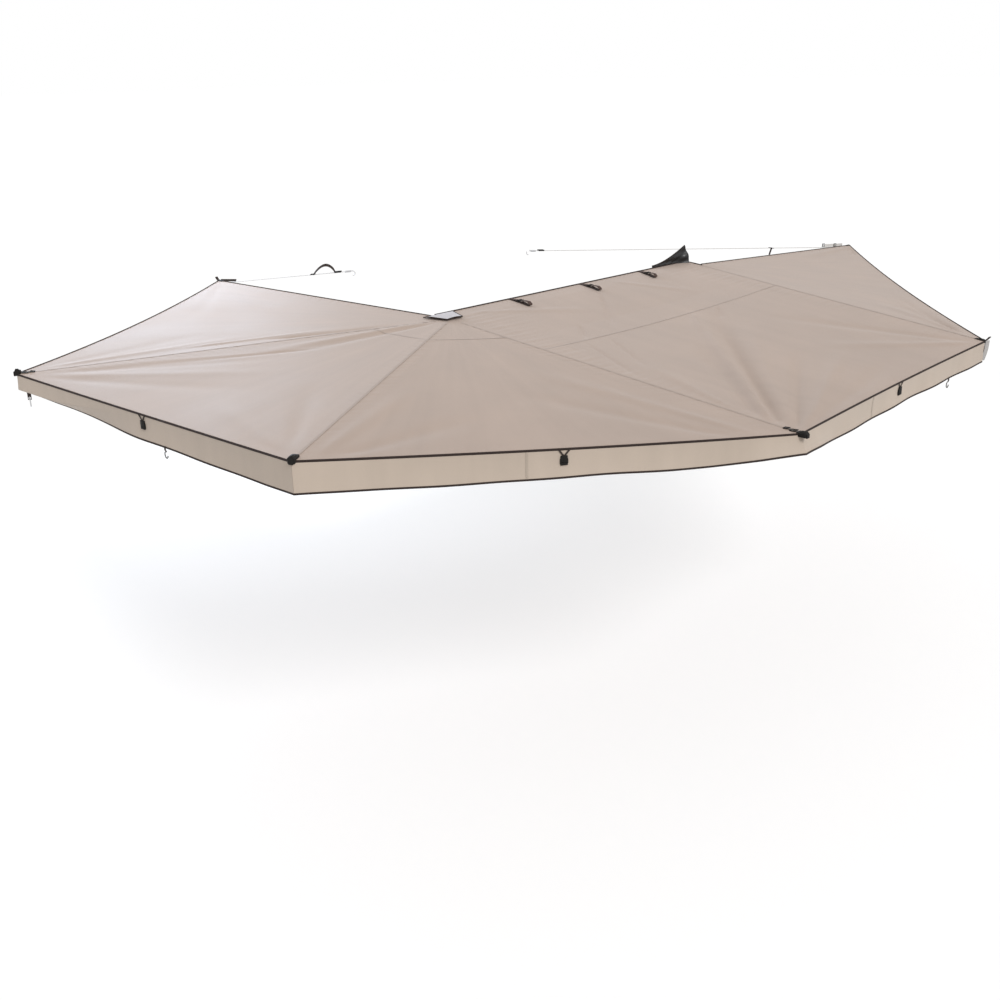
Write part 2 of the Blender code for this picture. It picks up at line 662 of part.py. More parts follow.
def seam(arm, reach):
    """A point under the cloth's seam over an arm, at a distance from the pivot axis.

    The cloth falls straight from over the pivot to the arm's tip. A reach below zero lies on the
    arm's line drawn back over the rail.
    """
    angle = ARM_ANGLES[arm]
    tip_z = LEVELS[arm][0] + CORNER_LIFT
    if reach < 0:
        back = -reach * abs(math.sin(angle)) / (RAIL_OUT - SEAM_GAP - PIVOT_Y)
        height = APEX_Z + (RAIL_TOP + GAP - APEX_Z) * min(1.0, back)
    else:
        height = APEX_Z + (tip_z - APEX_Z) * reach / FABRIC_LENGTH
    return Vector((hub_x(ARM_SIDES[arm]) + reach * math.cos(angle),
                   PIVOT_Y + reach * math.sin(angle), height))


def hump(t):
    return 4 * t * (1 - t)


def fan_point(first, second, s, t, sag=PANEL_SAG):
    """A point of the panel between two arms: s runs outward, t from the first to the second."""
    reach = APEX_RADIUS + (FABRIC_LENGTH - APEX_RADIUS) * s
    a = seam(first, reach)
    b = seam(second, reach)
    across = (b - a).normalized()
    point = a.lerp(b, t) + across * SEAM_GAP * (0.5 - t)
    pivot = Vector((hub_x(ARM_SIDES[first]), PIVOT_Y, point.z))
    point += (pivot - point) * SCALLOP * hump(t) * s ** 2
    point.z -= sag * hump(t) * s ** 1.5 * (2 - s)
    return point


def rail_share():
    """The share of the side panel that lies on the rail."""
    return (RAIL_EDGE_Y - RAIL_OUT + SEAM_GAP) / (RAIL_EDGE_Y - PIVOT_Y + FABRIC_LENGTH)


def side_point(u, v):
    """A point of the side panel: u runs forward, v from the rail to the outer edge."""
    edges = []
    for arm in ("side_arm", "front_arm"):
        if v < rail_share():
            y = RAIL_EDGE_Y + (RAIL_OUT - SEAM_GAP - RAIL_EDGE_Y) * v / rail_share()
            edges.append(seam(arm, (y - PIVOT_Y) / math.sin(ARM_ANGLES[arm])))
        else:
            corner = (RAIL_OUT - SEAM_GAP - PIVOT_Y) / math.sin(ARM_ANGLES[arm])
            share = (v - rail_share()) / (1 - rail_share())
            edges.append(seam(arm, corner + (FABRIC_LENGTH - corner) * share))
    rear, front = edges
    along = (front - rear).normalized()
    point = rear.lerp(front, u) + along * SEAM_GAP * (0.5 - u)
    point.y += SCALLOP * FABRIC_LENGTH * hump(u) * v ** 2
    open_share = max(0.0, v - rail_share())
    point.z -= SIDE_SAG * hump(u) * math.sin(math.pi * (0.25 + 0.55 * v)) * min(1.0, 4 * open_share)
    return point


def side_row(k):
    """Where row k of the side panel's grid lies: row 1 is at the rail's outer corner."""
    if k <= 1:
        return k * rail_share()
    return rail_share() + (1 - rail_share()) * (k - 1) / (SIDE_ROWS - 1)


def sheet(name, surface, columns, rows, thick, finish):
    """A grid laid on surface(s, t) and given its thickness upward or to its left."""
    def build(work):
        bmesh.ops.create_grid(work, x_segments=columns, y_segments=rows, size=0.5)
        for vert in work.verts:
            vert.co = surface(vert.co.x + 0.5, vert.co.y + 0.5)
    piece = add_mesh(name, build, finish)
    solid = piece.modifiers.new("thickness", "SOLIDIFY")
    solid.thickness = thick
    solid.offset = 1
    return piece


def fan_panel(name, first, second):
    sheet(name, lambda s, t: fan_point(first, second, s, 1 - t), 12, 10, CLOTH, "canvas")


def valance(name, edge, waves):
    """A strip that hangs from edge(t), with a wave that grows toward its hem."""
    corners = edge(0), edge(1)
    chord = (corners[1] - corners[0]).length
    stop = VALANCE_STOP / chord

    def surface(s, t):
        along = stop + (1 - 2 * stop) * s
        point = edge(along)
        ahead = edge(min(1, along + 0.001)) - edge(max(0, along - 0.001))
        out = Vector((ahead.y, -ahead.x, 0)).normalized()
        drop = 1 - t
        point += out * (VALANCE_FOLD * drop * math.sin(math.pi * waves * s) + CLOTH / 4)
        point.z -= GAP + CLOTH / 4 + VALANCE_DROP * drop
        return point
    sheet(name, surface, 28, 3, CLOTH, "valance_canvas")


def canopy():
    side = sheet("side_panel", lambda s, t: side_point(s, side_row(round(t * SIDE_ROWS))),
                 SIDE_COLUMNS, SIDE_ROWS, CLOTH, "canvas")
    side.data.flip_normals()
    fan_panel("corner_panel", "side_arm", "corner_arm")
    fan_panel("rear_panel", "corner_arm", "rear_arm")
    fan_panel("rear_wing_panel", "rear_arm", "rear_end_arm")
    fan_panel("front_wing_panel", "front_end_arm", "front_arm")
    valance("side_valance", lambda t: side_point(1 - t, 1), VALANCE_WAVES)
    valance("corner_valance", lambda t: fan_point("side_arm", "corner_arm", 1, t), VALANCE_WAVES)
    valance("rear_valance", lambda t: fan_point("corner_arm", "rear_arm", 1, t), VALANCE_WAVES)


# Bag, flaps and straps
def bag_skirt():
    """The opened bag: a sheet that hangs from the rail's outer face behind the folded arms."""
    def surface(s, t):
        drop = 1 - t
        fold = SKIRT_FOLD * drop * math.sin(2 * math.pi * SKIRT_WAVES * s)
        return Vector(((s - 0.5) * SKIRT_LENGTH,
                       RAIL_OUT - GAP - SKIRT_FOLD * min(1, drop * 6) + fold,
                       -SKIRT_Z - SKIRT_DROP * drop))
    sheet("bag_skirt", surface, 42, 4, CLOTH, "vinyl_black")


def side_top(x, k):
    """A point on top of the side panel's faceted cloth, over one of its rows, at a given x."""
    v = side_row(k)
    start, end = side_point(0, v).x, side_point(1, v).x
    place_in = (x - start) / (end - start) * SIDE_COLUMNS
    column = math.floor(place_in)
    low = side_point(column / SIDE_COLUMNS, v)
    high = side_point((column + 1) / SIDE_COLUMNS, v)
    point = low.lerp(high, place_in - column)
    return Vector((x, point.y, point.z + CLOTH))


def bag_end_flap():
    """The stiff end of the bag, which stands up on the rail's rack side at the front."""
    y = RAIL_EDGE_Y + 0.005

    def surface(s, t):
        rise = END_FLAP_RISE * s ** 1.8 * (1 - 0.12 * s)
        lean = 0.020 * (t * s) ** 2
        x = END_FLAP_X - END_FLAP_BASE * (1 - s) - 0.02 * t * s
        return Vector((x, y - lean, RAIL_TOP + GAP + 0.0002 + t * (rise + 0.012)))
    sheet("bag_end_flap", surface, 10, 5, CLOTH, "vinyl_black")


def storage_strap(name, x):
    """A strap that lies on the cloth, from the panel's inner edge to its third row."""
    def surface(s, t):
        along = 2 * s
        row = min(1, math.floor(along))
        across = x + (t - 0.5) * STRAP_WIDTH
        point = side_top(across, row).lerp(side_top(across, row + 1), along - row)
        return point + Vector((0, -0.002 * (1 - s), GAP))
    sheet(name, surface, 6, 1, STRAP_THICK, "webbing")


def hub_cover_flap():
    """The piped flap over the rear hub: sewn to the rail's edge, it steps up over the panel."""
    low, high = COVER_X
    steps = [(0.0, 0.0), (COVER_STEP, COVER_LIFT * 0.45), (RAIL_DEPTH, COVER_LIFT)]
    steps += [(RAIL_DEPTH + (COVER_REACH - RAIL_DEPTH) * k / 4, COVER_LIFT) for k in (1, 2, 3, 4)]

    def surface(s, t):
        out, rise = steps[round((1 - t) * (len(steps) - 1))]
        x = low + (high - low) * s
        y = -RAIL_BACK - 0.001 - out
        droop = COVER_DROOP * math.hypot(x - hub_x(-1), y - PIVOT_Y) * out / COVER_REACH
        return Vector((x, y, RAIL_TOP + GAP + rise - droop))
    sheet("hub_cover_flap", surface, 8, len(steps) - 1, CLOTH, "flap_grey")


def strap_frame(start, end):
    """A rotation whose X runs from start to end, with its Z near the world's."""
    along = (Vector(end) - Vector(start)).normalized()
    across = Vector((0, 0, 1)).cross(along).normalized()
    return Matrix((along, across, along.cross(across))).transposed().to_euler()


def tension_strap(name, arm, anchor):
    """Taut webbing from the lug of an end arm to a hook on the rack."""
    top, bottom = LEVELS[arm]
    turn_by = Matrix.Rotation(ARM_ANGLES[arm], 3, "Z")
    side = ARM_SIDES[arm]
    lug = turn_by @ Vector((ARM_LENGTH - LUG_BACK, side * LUG_OUT, (top + bottom) / 2))
    lug += Vector((hub_x(side), PIVOT_Y, 0))
    anchor = Vector(anchor)
    level = Vector((anchor.x - lug.x, anchor.y - lug.y, 0)).normalized()
    start = lug + level * (LUG_RADIUS + GAP)
    length = (anchor - start).length
    turn = strap_frame(start, anchor)
    half = WEB_WIDTH / 2
    add_mesh(name, box((0, -half, -WEB_THICK / 2), (length, half, WEB_THICK / 2)), "webbing",
             at=start, turn=turn)
    hook_frame = bpy.data.objects.new(name + "_hook_place", None)
    PARTS.objects.link(hook_frame)
    return place(hook_frame, at=anchor, turn=turn)


def strap_hook(name, place_at):
    """A flat buckle body with a wire hook that drops over the rack's side rail."""
    length = HOOK_LENGTH / 2
    piece = add_mesh(name, box((GAP, -0.020, -0.005), (length, 0.020, 0.005)), "steel", place_at)
    bevel(piece, 0.002, 1)
    bend = 0.016
    path = [(length - 0.006, 0, 0), (length + 0.012, 0, 0)]
    path += [(length + 0.012 + x, 0, z - bend) for x, z in arc((0, 0), bend, 90, -100, 10)]
    boolean(piece, wire(name + "_wire", path, HOOK_WIRE, None, place_at, tool=True), "UNION")


def tie_and_carabiner():
    """A webbing tab on the side of the rear arm's nose, and the carabiner that swings in its eye.

    It hangs on the side that faces away from the rail when the arms are folded.
    """
    frame = bpy.data.objects["rear_arm_pivot"]
    near = -CAP_HALF - GAP
    far = near - WEB_THICK
    high = LEVELS["rear_arm"][0] - TIE_HEAD
    low = high - TIE_LENGTH
    tab = add_mesh("rear_arm_tie_strap",
                   box((TIE_REACH - 0.010, far, low), (TIE_REACH + 0.010, near, high)),
                   "webbing", frame)
    middle = (near + far) / 2
    cut_with(tab, "tie_eye", rod(EYE_RADIUS, -0.02, 0.02, "Y", 16), parent=frame,
             at=(TIE_REACH, middle, low + TIE_EYE))
    swing = bpy.data.objects.new("carabiner_swing", None)
    PARTS.objects.link(swing)
    place(swing, frame, at=(TIE_REACH, middle,
                            low + TIE_EYE + EYE_RADIUS - CARABINER_WIRE - FIT))
    bend = CARABINER_WIDTH / 2 - CARABINER_WIRE
    ring = arc((0, -CARABINER_TOP), CARABINER_TOP, 0, 180, 9)
    ring += arc((0, CARABINER_WIRE * 2 - CARABINER_LENGTH + bend), bend, 180, 360, 9)
    wire("rear_arm_carabiner", [(0, y, z) for y, z in ring], CARABINER_WIRE, "steel", swing,
         closed=True)


def build_awning():
    backing_rail()
    for name, x in (("mount_bracket_rear", -BRACKET_X), ("mount_bracket_middle", 0),
                    ("mount_bracket_front", BRACKET_X)):
        mount_bracket(name, x)
    for end, side in (("rear", -1), ("front", 1)):
        hub_bracket(end + "_hub_bracket", side)
        pivot_pin(end + "_pivot_pin", side)
    for arm in ARMS:
        build_arm(*arm)
    canopy()
    bag_skirt()
    bag_end_flap()
    for index, x in enumerate(STRAP_X):
        storage_strap(f"storage_strap_{index + 1}", x)
    hub_cover_flap()
    for end, arm, anchor in (("front", "front_end_arm", FRONT_ANCHOR),
                             ("rear", "rear_end_arm", REAR_ANCHOR)):
        hook_place = tension_strap(end + "_tension_strap", arm, anchor)
        strap_hook(end + "_strap_hook", hook_place)
    tie_and_carabiner()


build_awning()
bpy.context.view_layer.update()
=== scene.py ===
# %% [markdown]
# # A wrap-around side awning
# The real thing is a cloth fan held out by six folding arms. Three brackets bolt its rail up, and
# it opens round the rear corner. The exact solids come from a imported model, which is loaded here
# as a fixed frame. Everything soft is then rebuilt as real cloth, webbing and piping on top of it.

# %% Load the frame
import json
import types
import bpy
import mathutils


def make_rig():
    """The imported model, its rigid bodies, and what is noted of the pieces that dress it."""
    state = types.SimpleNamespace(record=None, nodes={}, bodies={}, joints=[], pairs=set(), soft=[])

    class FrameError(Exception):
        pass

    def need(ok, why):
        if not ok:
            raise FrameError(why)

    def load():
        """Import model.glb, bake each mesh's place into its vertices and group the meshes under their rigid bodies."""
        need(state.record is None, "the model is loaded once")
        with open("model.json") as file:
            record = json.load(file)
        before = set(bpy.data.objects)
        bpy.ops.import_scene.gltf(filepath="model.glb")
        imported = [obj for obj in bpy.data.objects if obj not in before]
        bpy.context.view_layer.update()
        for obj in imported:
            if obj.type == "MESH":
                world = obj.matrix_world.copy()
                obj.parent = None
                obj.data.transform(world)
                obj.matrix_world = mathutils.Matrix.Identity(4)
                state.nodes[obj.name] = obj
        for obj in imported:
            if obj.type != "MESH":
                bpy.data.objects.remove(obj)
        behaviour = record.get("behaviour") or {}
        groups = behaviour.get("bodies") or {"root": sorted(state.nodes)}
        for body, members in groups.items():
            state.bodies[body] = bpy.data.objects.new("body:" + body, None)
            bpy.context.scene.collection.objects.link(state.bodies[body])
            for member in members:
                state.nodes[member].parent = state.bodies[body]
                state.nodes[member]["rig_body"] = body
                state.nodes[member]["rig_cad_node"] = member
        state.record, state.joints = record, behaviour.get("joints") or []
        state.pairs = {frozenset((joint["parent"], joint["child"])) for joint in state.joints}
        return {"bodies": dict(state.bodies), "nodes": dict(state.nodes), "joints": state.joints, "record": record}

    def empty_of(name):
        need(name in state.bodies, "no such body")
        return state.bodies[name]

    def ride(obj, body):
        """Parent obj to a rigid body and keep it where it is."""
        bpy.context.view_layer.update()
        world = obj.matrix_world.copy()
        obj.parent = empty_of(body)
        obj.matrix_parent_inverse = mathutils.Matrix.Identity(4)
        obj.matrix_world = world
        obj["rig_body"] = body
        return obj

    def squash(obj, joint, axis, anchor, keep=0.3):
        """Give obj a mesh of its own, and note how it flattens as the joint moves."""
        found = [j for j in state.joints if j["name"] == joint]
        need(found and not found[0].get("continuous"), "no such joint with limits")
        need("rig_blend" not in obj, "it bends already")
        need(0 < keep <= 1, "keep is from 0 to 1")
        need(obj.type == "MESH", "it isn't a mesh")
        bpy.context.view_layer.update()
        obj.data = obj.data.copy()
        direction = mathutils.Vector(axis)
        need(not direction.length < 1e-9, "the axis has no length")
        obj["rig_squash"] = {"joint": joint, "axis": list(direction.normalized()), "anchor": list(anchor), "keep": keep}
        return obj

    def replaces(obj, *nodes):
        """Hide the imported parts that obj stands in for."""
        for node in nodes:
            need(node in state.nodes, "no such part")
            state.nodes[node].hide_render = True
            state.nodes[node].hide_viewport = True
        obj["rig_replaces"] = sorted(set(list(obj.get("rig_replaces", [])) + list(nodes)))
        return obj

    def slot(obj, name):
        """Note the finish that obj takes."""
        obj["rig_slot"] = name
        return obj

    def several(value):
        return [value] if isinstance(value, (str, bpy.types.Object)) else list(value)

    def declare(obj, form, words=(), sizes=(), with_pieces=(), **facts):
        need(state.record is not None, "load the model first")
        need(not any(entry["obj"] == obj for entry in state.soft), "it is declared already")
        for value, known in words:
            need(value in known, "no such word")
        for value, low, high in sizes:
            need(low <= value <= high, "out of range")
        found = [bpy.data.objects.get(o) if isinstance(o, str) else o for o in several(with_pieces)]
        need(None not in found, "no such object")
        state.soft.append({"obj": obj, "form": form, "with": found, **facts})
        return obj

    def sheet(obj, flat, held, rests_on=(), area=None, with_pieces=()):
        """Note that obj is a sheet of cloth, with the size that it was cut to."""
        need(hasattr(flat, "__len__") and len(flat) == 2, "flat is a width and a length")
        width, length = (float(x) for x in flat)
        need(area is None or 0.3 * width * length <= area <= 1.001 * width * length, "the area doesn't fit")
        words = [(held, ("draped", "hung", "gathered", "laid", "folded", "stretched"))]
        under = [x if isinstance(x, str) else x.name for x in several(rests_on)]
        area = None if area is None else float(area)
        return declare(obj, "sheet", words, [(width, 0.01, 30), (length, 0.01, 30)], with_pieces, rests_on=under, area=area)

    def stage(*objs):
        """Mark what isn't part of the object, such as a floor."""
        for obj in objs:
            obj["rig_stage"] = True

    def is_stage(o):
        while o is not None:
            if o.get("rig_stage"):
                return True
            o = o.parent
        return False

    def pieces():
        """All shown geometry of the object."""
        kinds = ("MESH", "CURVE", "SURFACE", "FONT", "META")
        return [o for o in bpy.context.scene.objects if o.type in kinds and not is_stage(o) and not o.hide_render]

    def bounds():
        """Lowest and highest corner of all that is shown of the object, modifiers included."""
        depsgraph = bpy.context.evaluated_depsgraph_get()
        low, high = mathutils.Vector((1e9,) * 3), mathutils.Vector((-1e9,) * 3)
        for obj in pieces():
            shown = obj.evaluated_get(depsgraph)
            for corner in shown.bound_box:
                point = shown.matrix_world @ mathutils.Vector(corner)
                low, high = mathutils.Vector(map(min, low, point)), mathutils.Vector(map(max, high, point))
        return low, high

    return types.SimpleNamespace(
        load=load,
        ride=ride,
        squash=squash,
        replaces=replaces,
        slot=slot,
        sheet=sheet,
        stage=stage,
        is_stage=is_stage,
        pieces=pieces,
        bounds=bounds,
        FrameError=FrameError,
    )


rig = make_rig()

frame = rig.load()

import json
import math

import bpy
import bmesh
from mathutils import Matrix, Vector

nodes = frame["nodes"]
cad_box = [list(corner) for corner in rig.bounds()]
print("CAD box", [[round(v, 3) for v in corner] for corner in cad_box])

# %% [markdown]
# ## The camera
# The photograph looks down on the awning from the rear left. The camera's place and lens were
# fitted to the six corners of the cloth. Its axes are built from a heading, a downward pitch and
# a small roll, because those three numbers are easy to read and to correct.

# %% Camera
CAMERA_AT = Vector((-5.836, -5.233, 1.511))
HEADING, PITCH, ROLL = (math.radians(a) for a in (45.48, 21.15, -1.08))
LENS_MM, SENSOR_MM = 40.74, 36.0
NEAREST, FARTHEST = 0.05, 400


def put(name, data):
    """A new object in the scene."""
    piece = bpy.data.objects.new(name, data)
    bpy.context.scene.collection.objects.link(piece)
    return piece


def make_camera():
    ahead = Vector((math.cos(HEADING) * math.cos(PITCH), math.sin(HEADING) * math.cos(PITCH),
                    -math.sin(PITCH)))
    right = ahead.cross(Vector((0, 0, 1))).normalized()
    up = right.cross(ahead)
    across = right * math.cos(ROLL) + up * math.sin(ROLL)
    upward = up * math.cos(ROLL) - right * math.sin(ROLL)
    data = bpy.data.cameras.new("photo_camera")
    data.lens, data.sensor_width = LENS_MM, SENSOR_MM
    data.clip_start, data.clip_end = NEAREST, FARTHEST
    camera = put("photo_camera", data)
    camera.matrix_world = Matrix.Translation(CAMERA_AT) @ Matrix(
        (across, upward, -ahead)).transposed().to_4x4()
    bpy.context.scene.camera = camera
    return camera


print("camera at", tuple(round(v, 2) for v in make_camera().location))

# %% [markdown]
# ## Sizes shared with the solids
# These numbers repeat the ones that the solids were made from, in metres. Writing the cloth from
# the same formula as its solid is the surest way to keep the two together.

# %% Sizes
UP = Vector((0, 0, 1))
HUB_X, HUB_Y = 1.270, -0.190
ARM, CLOTH_REACH = 2.448, 2.466
APEX_Z, APEX_RADIUS = 0.062, 0.018
RAIL_TOP, RAIL_OUT, RAIL_EDGE_Y = 0.065, -0.075, -0.043
OFF_RAIL = 0.0008
SCALLOP, SAG, SIDE_SAG = 0.016, 0.022, 0.030
VALANCE_DROP = 0.135
ANGLE = {"rear_end": -268.0, "corner": -148.0, "rear": -206.5, "front": -102.0,
         "front_end": 2.5, "side": -91.5}
TOP = {"rear_end": 0.022, "corner": -0.003, "rear": -0.034, "front": -0.065,
       "front_end": -0.096, "side": -0.121}
SIDE_OF = {name: (1 if name.startswith("front") else -1) for name in ANGLE}


def along(arm, reach, aside=0.0):
    """A level point on an arm's line, at a distance from its pivot and to its left."""
    a = math.radians(ANGLE[arm])
    return Vector((SIDE_OF[arm] * HUB_X + reach * math.cos(a) - aside * math.sin(a),
                   HUB_Y + reach * math.sin(a) + aside * math.cos(a), 0))


def heading(arm):
    """Level directions along an arm, outward, and to its left."""
    a = math.radians(ANGLE[arm])
    return Vector((math.cos(a), math.sin(a), 0)), Vector((-math.sin(a), math.cos(a), 0))


for arm in ANGLE:
    print(arm, "tip at", tuple(round(v, 3) for v in along(arm, ARM)))

# %% [markdown]
# ## Surfaces of the canopy
# A seam runs straight from over the pivot to each arm's tip. Between two seams the cloth sags a
# little and its free edge is cut as a shallow curve, so that it pulls tight. Each panel is one
# function of two shares, from 0 to 1, which any later piece can ask for a point.

# %% Seams and panels
def seam(arm, reach):
    """A point under the cloth on an arm's seam. Below zero it runs back over the rail."""
    tip = TOP[arm] + 0.002
    if reach < 0:
        back = -reach * abs(math.sin(math.radians(ANGLE[arm]))) / (RAIL_OUT - OFF_RAIL - HUB_Y)
        height = APEX_Z + (RAIL_TOP + 0.0003 - APEX_Z) * min(1.0, back)
    else:
        height = APEX_Z + (tip - APEX_Z) * reach / CLOTH_REACH
    point = along(arm, reach)
    point.z = height
    return point


def hump(t):
    return 4 * t * (1 - t)


def fan_point(first, second, s, t):
    """A point of the panel between two arms: s runs outward and t from first to second."""
    reach = APEX_RADIUS + (CLOTH_REACH - APEX_RADIUS) * s
    point = seam(first, reach).lerp(seam(second, reach), t)
    pivot = Vector((SIDE_OF[first] * HUB_X, HUB_Y, point.z))
    point += (pivot - point) * SCALLOP * hump(t) * s ** 2
    point.z -= SAG * hump(t) * s ** 1.5 * (2 - s)
    return point


RAIL_SHARE = (RAIL_EDGE_Y - RAIL_OUT + OFF_RAIL) / (RAIL_EDGE_Y - HUB_Y + CLOTH_REACH)


def side_point(u, v):
    """A point of the long panel: u runs forward and v from the rail to the outer edge."""
    edges = []
    for arm in ("side", "front"):
        slope = math.sin(math.radians(ANGLE[arm]))
        corner = (RAIL_OUT - OFF_RAIL - HUB_Y) / slope
        if v < RAIL_SHARE:
            y = RAIL_EDGE_Y + (RAIL_OUT - OFF_RAIL - RAIL_EDGE_Y) * v / RAIL_SHARE
            edges.append(seam(arm, (y - HUB_Y) / slope))
        else:
            share = (v - RAIL_SHARE) / (1 - RAIL_SHARE)
            edges.append(seam(arm, corner + (CLOTH_REACH - corner) * share))
    point = edges[0].lerp(edges[1], u)
    point.y += SCALLOP * CLOTH_REACH * hump(u) * v ** 2
    fall = math.sin(math.pi * (0.25 + 0.55 * v)) * min(1.0, 4 * max(0.0, v - RAIL_SHARE))
    point.z -= SIDE_SAG * hump(u) * fall
    return point


print("side panel's middle", tuple(round(v, 3) for v in side_point(0.5, 0.5)))

# %% [markdown]
# ## Folds in the cloth
# Hard-pulled cloth is never smooth: folds fan out from the corners where the arms pull, and fine
# puckers follow the seams. Each fold here is a line on the ground plan, from x, y to x, y in
# metres, with a width and a height in millimetres. A point near it is lifted by a bell curve.
# This moves real mesh, so it shades right in any light.

# %% Folds
FOLDS = {
    "side_panel": [
        (-1.33, -2.55, 0.27, -1.02, 45, -20), (-1.34, -2.50, 0.01, -1.10, 36, 17),
        (-1.33, -2.42, -0.42, -1.40, 45, -10), (-1.26, -2.56, 0.20, -1.30, 50, 9),
        (-1.34, -2.64, -0.14, -1.91, 34, -13), (-1.28, -2.64, 0.10, -2.06, 42, 9),
        (-1.26, -2.66, 0.10, -2.35, 50, -7), (-1.34, -2.35, -1.02, -1.50, 40, 6),
        (-0.97, -1.02, -1.29, -1.70, 18, -5), (-0.78, -1.04, -1.08, -1.56, 18, -5),
        (-0.02, -0.32, -0.54, -0.88, 20, -6), (-0.70, -0.73, -0.90, -0.97, 18, -6),
        (0.10, -1.00, -0.20, -1.28, 20, 6), (0.36, -1.00, 0.16, -1.18, 18, -6),
        (0.70, -2.55, 0.40, -1.30, 55, -6), (0.68, -2.57, 0.05, -1.90, 60, 6),
        (0.30, -0.10, 0.62, -0.70, 40, 4), (-1.10, -0.12, -0.30, -0.55, 45, 4)],
    "corner_panel": [
        (-1.50, -2.50, -1.62, -1.20, 50, 6), (-1.60, -2.48, -1.95, -1.40, 60, -6),
        (-3.22, -1.50, -2.30, -1.05, 50, 6), (-3.20, -1.56, -2.35, -1.55, 60, -6),
        (-2.95, -1.75, -1.80, -2.35, 45, 4)],
    "rear_panel": [
        (-1.36, -0.19, -2.30, 0.02, 40, -6), (-2.20, -0.02, -3.25, 0.74, 40, -7),
        (-1.45, -0.12, -2.40, 0.16, 40, 5), (-2.35, 0.10, -3.28, 0.78, 40, 6),
        (-3.33, 0.76, -2.30, -0.10, 55, -4), (-3.36, 0.72, -2.50, -0.32, 60, 4),
        (-3.38, 0.66, -2.80, -0.45, 70, -4), (-3.30, -1.35, -3.05, -0.40, 60, 6),
        (-3.24, -1.33, -2.60, -0.60, 60, -6)],
    "rear_wing_panel": [
        (-3.30, 0.90, -2.20, 0.55, 50, 7), (-3.26, 0.95, -2.30, 0.90, 70, -5),
        (-2.20, 0.35, -1.50, -0.05, 35, -7), (-1.40, 2.15, -1.75, 1.20, 60, 7),
        (-1.45, 2.12, -2.10, 1.35, 60, -6), (-2.60, 0.62, -1.80, 0.22, 30, 6)],
    "front_wing_panel": [
        (0.82, -2.45, 1.32, -1.62, 35, 8), (0.86, -2.42, 1.50, -1.66, 40, -8),
        (0.90, -2.42, 1.75, -1.75, 50, 7), (3.62, -0.14, 3.25, -0.42, 26, -12),
        (3.58, -0.14, 2.55, -0.30, 50, 7), (3.56, -0.22, 2.75, -1.02, 45, -10),
        (3.50, -0.30, 2.40, -1.30, 40, 7), (0.88, -2.38, 1.85, -1.45, 30, -8)],
}


def smooth(value):
    value = max(0.0, min(1.0, value))
    return value * value * (3 - 2 * value)


def fold_height(name, point):
    """How far the folds of a panel lift a point of it."""
    lift = 0.0
    for ax, ay, bx, by, width, height in FOLDS[name]:
        dx, dy = bx - ax, by - ay
        long = dx * dx + dy * dy
        share = ((point.x - ax) * dx + (point.y - ay) * dy) / long
        if not -0.08 < share < 1.08:
            continue
        off = ((point.x - ax) * dy - (point.y - ay) * dx) / math.sqrt(long)
        spread = width / 1000 * (0.45 + 0.9 * max(0.0, share))
        bell = math.exp(-(off / spread) ** 2)
        taper = smooth((share + 0.08) / 0.26) * smooth((1.08 - share) / 0.45)
        lift += height / 1000 * bell * taper
    return lift


print("folds on", {name: len(lines) for name, lines in FOLDS.items()})

# %% [markdown]
# ## Making a mesh piece
# Every soft piece below is a grid of points or a tube along a path, so two small builders make
# them all. UV coordinates are kept in metres: a weave in the material then has its true size and
# stays on the cloth when the awning folds.

# %% Mesh builders
def mesh_piece(name, points, faces, finish, uvs=None, facing=None):
    mesh = bpy.data.meshes.new(name)
    mesh.from_pydata([tuple(p) for p in points], [], faces)
    if facing is not None:
        area = sum((poly.normal * poly.area for poly in mesh.polygons), Vector())
        if area.dot(Vector(facing)) < 0:
            mesh.flip_normals()
    if uvs is not None:
        layer = mesh.uv_layers.new(name="metres")
        for loop in mesh.loops:
            layer.data[loop.index].uv = uvs[loop.vertex_index]
    mesh.shade_smooth()
    mesh.materials.append(finish)
    return put(name, mesh)


def grid_faces(columns, rows):
    wide = columns + 1
    return [(j * wide + i, j * wide + i + 1, (j + 1) * wide + i + 1, (j + 1) * wide + i)
            for j in range(rows) for i in range(columns)]


def thicken(piece, thick, offset):
    solid = piece.modifiers.new("thickness", "SOLIDIFY")
    solid.thickness, solid.offset = thick, offset


def grid_piece(name, surface, columns, rows, size, finish, facing=UP, thick=0.0012,
               uv_from=(0.0, 0.0), offset=1):
    """A sheet laid on surface(s, t). Its thickness is on its facing side, or half on each.

    Normals weighted by area keep the thin rim from darkening the cloth beside it.
    """
    points, uvs = [], []
    for j in range(rows + 1):
        for i in range(columns + 1):
            points.append(surface(i / columns, j / rows))
            uvs.append((uv_from[0] + size[0] * i / columns, uv_from[1] + size[1] * j / rows))
    piece = mesh_piece(name, points, grid_faces(columns, rows), finish, uvs, facing)
    thicken(piece, thick, offset)
    piece.modifiers.new("even_normals", "WEIGHTED_NORMAL")
    return piece


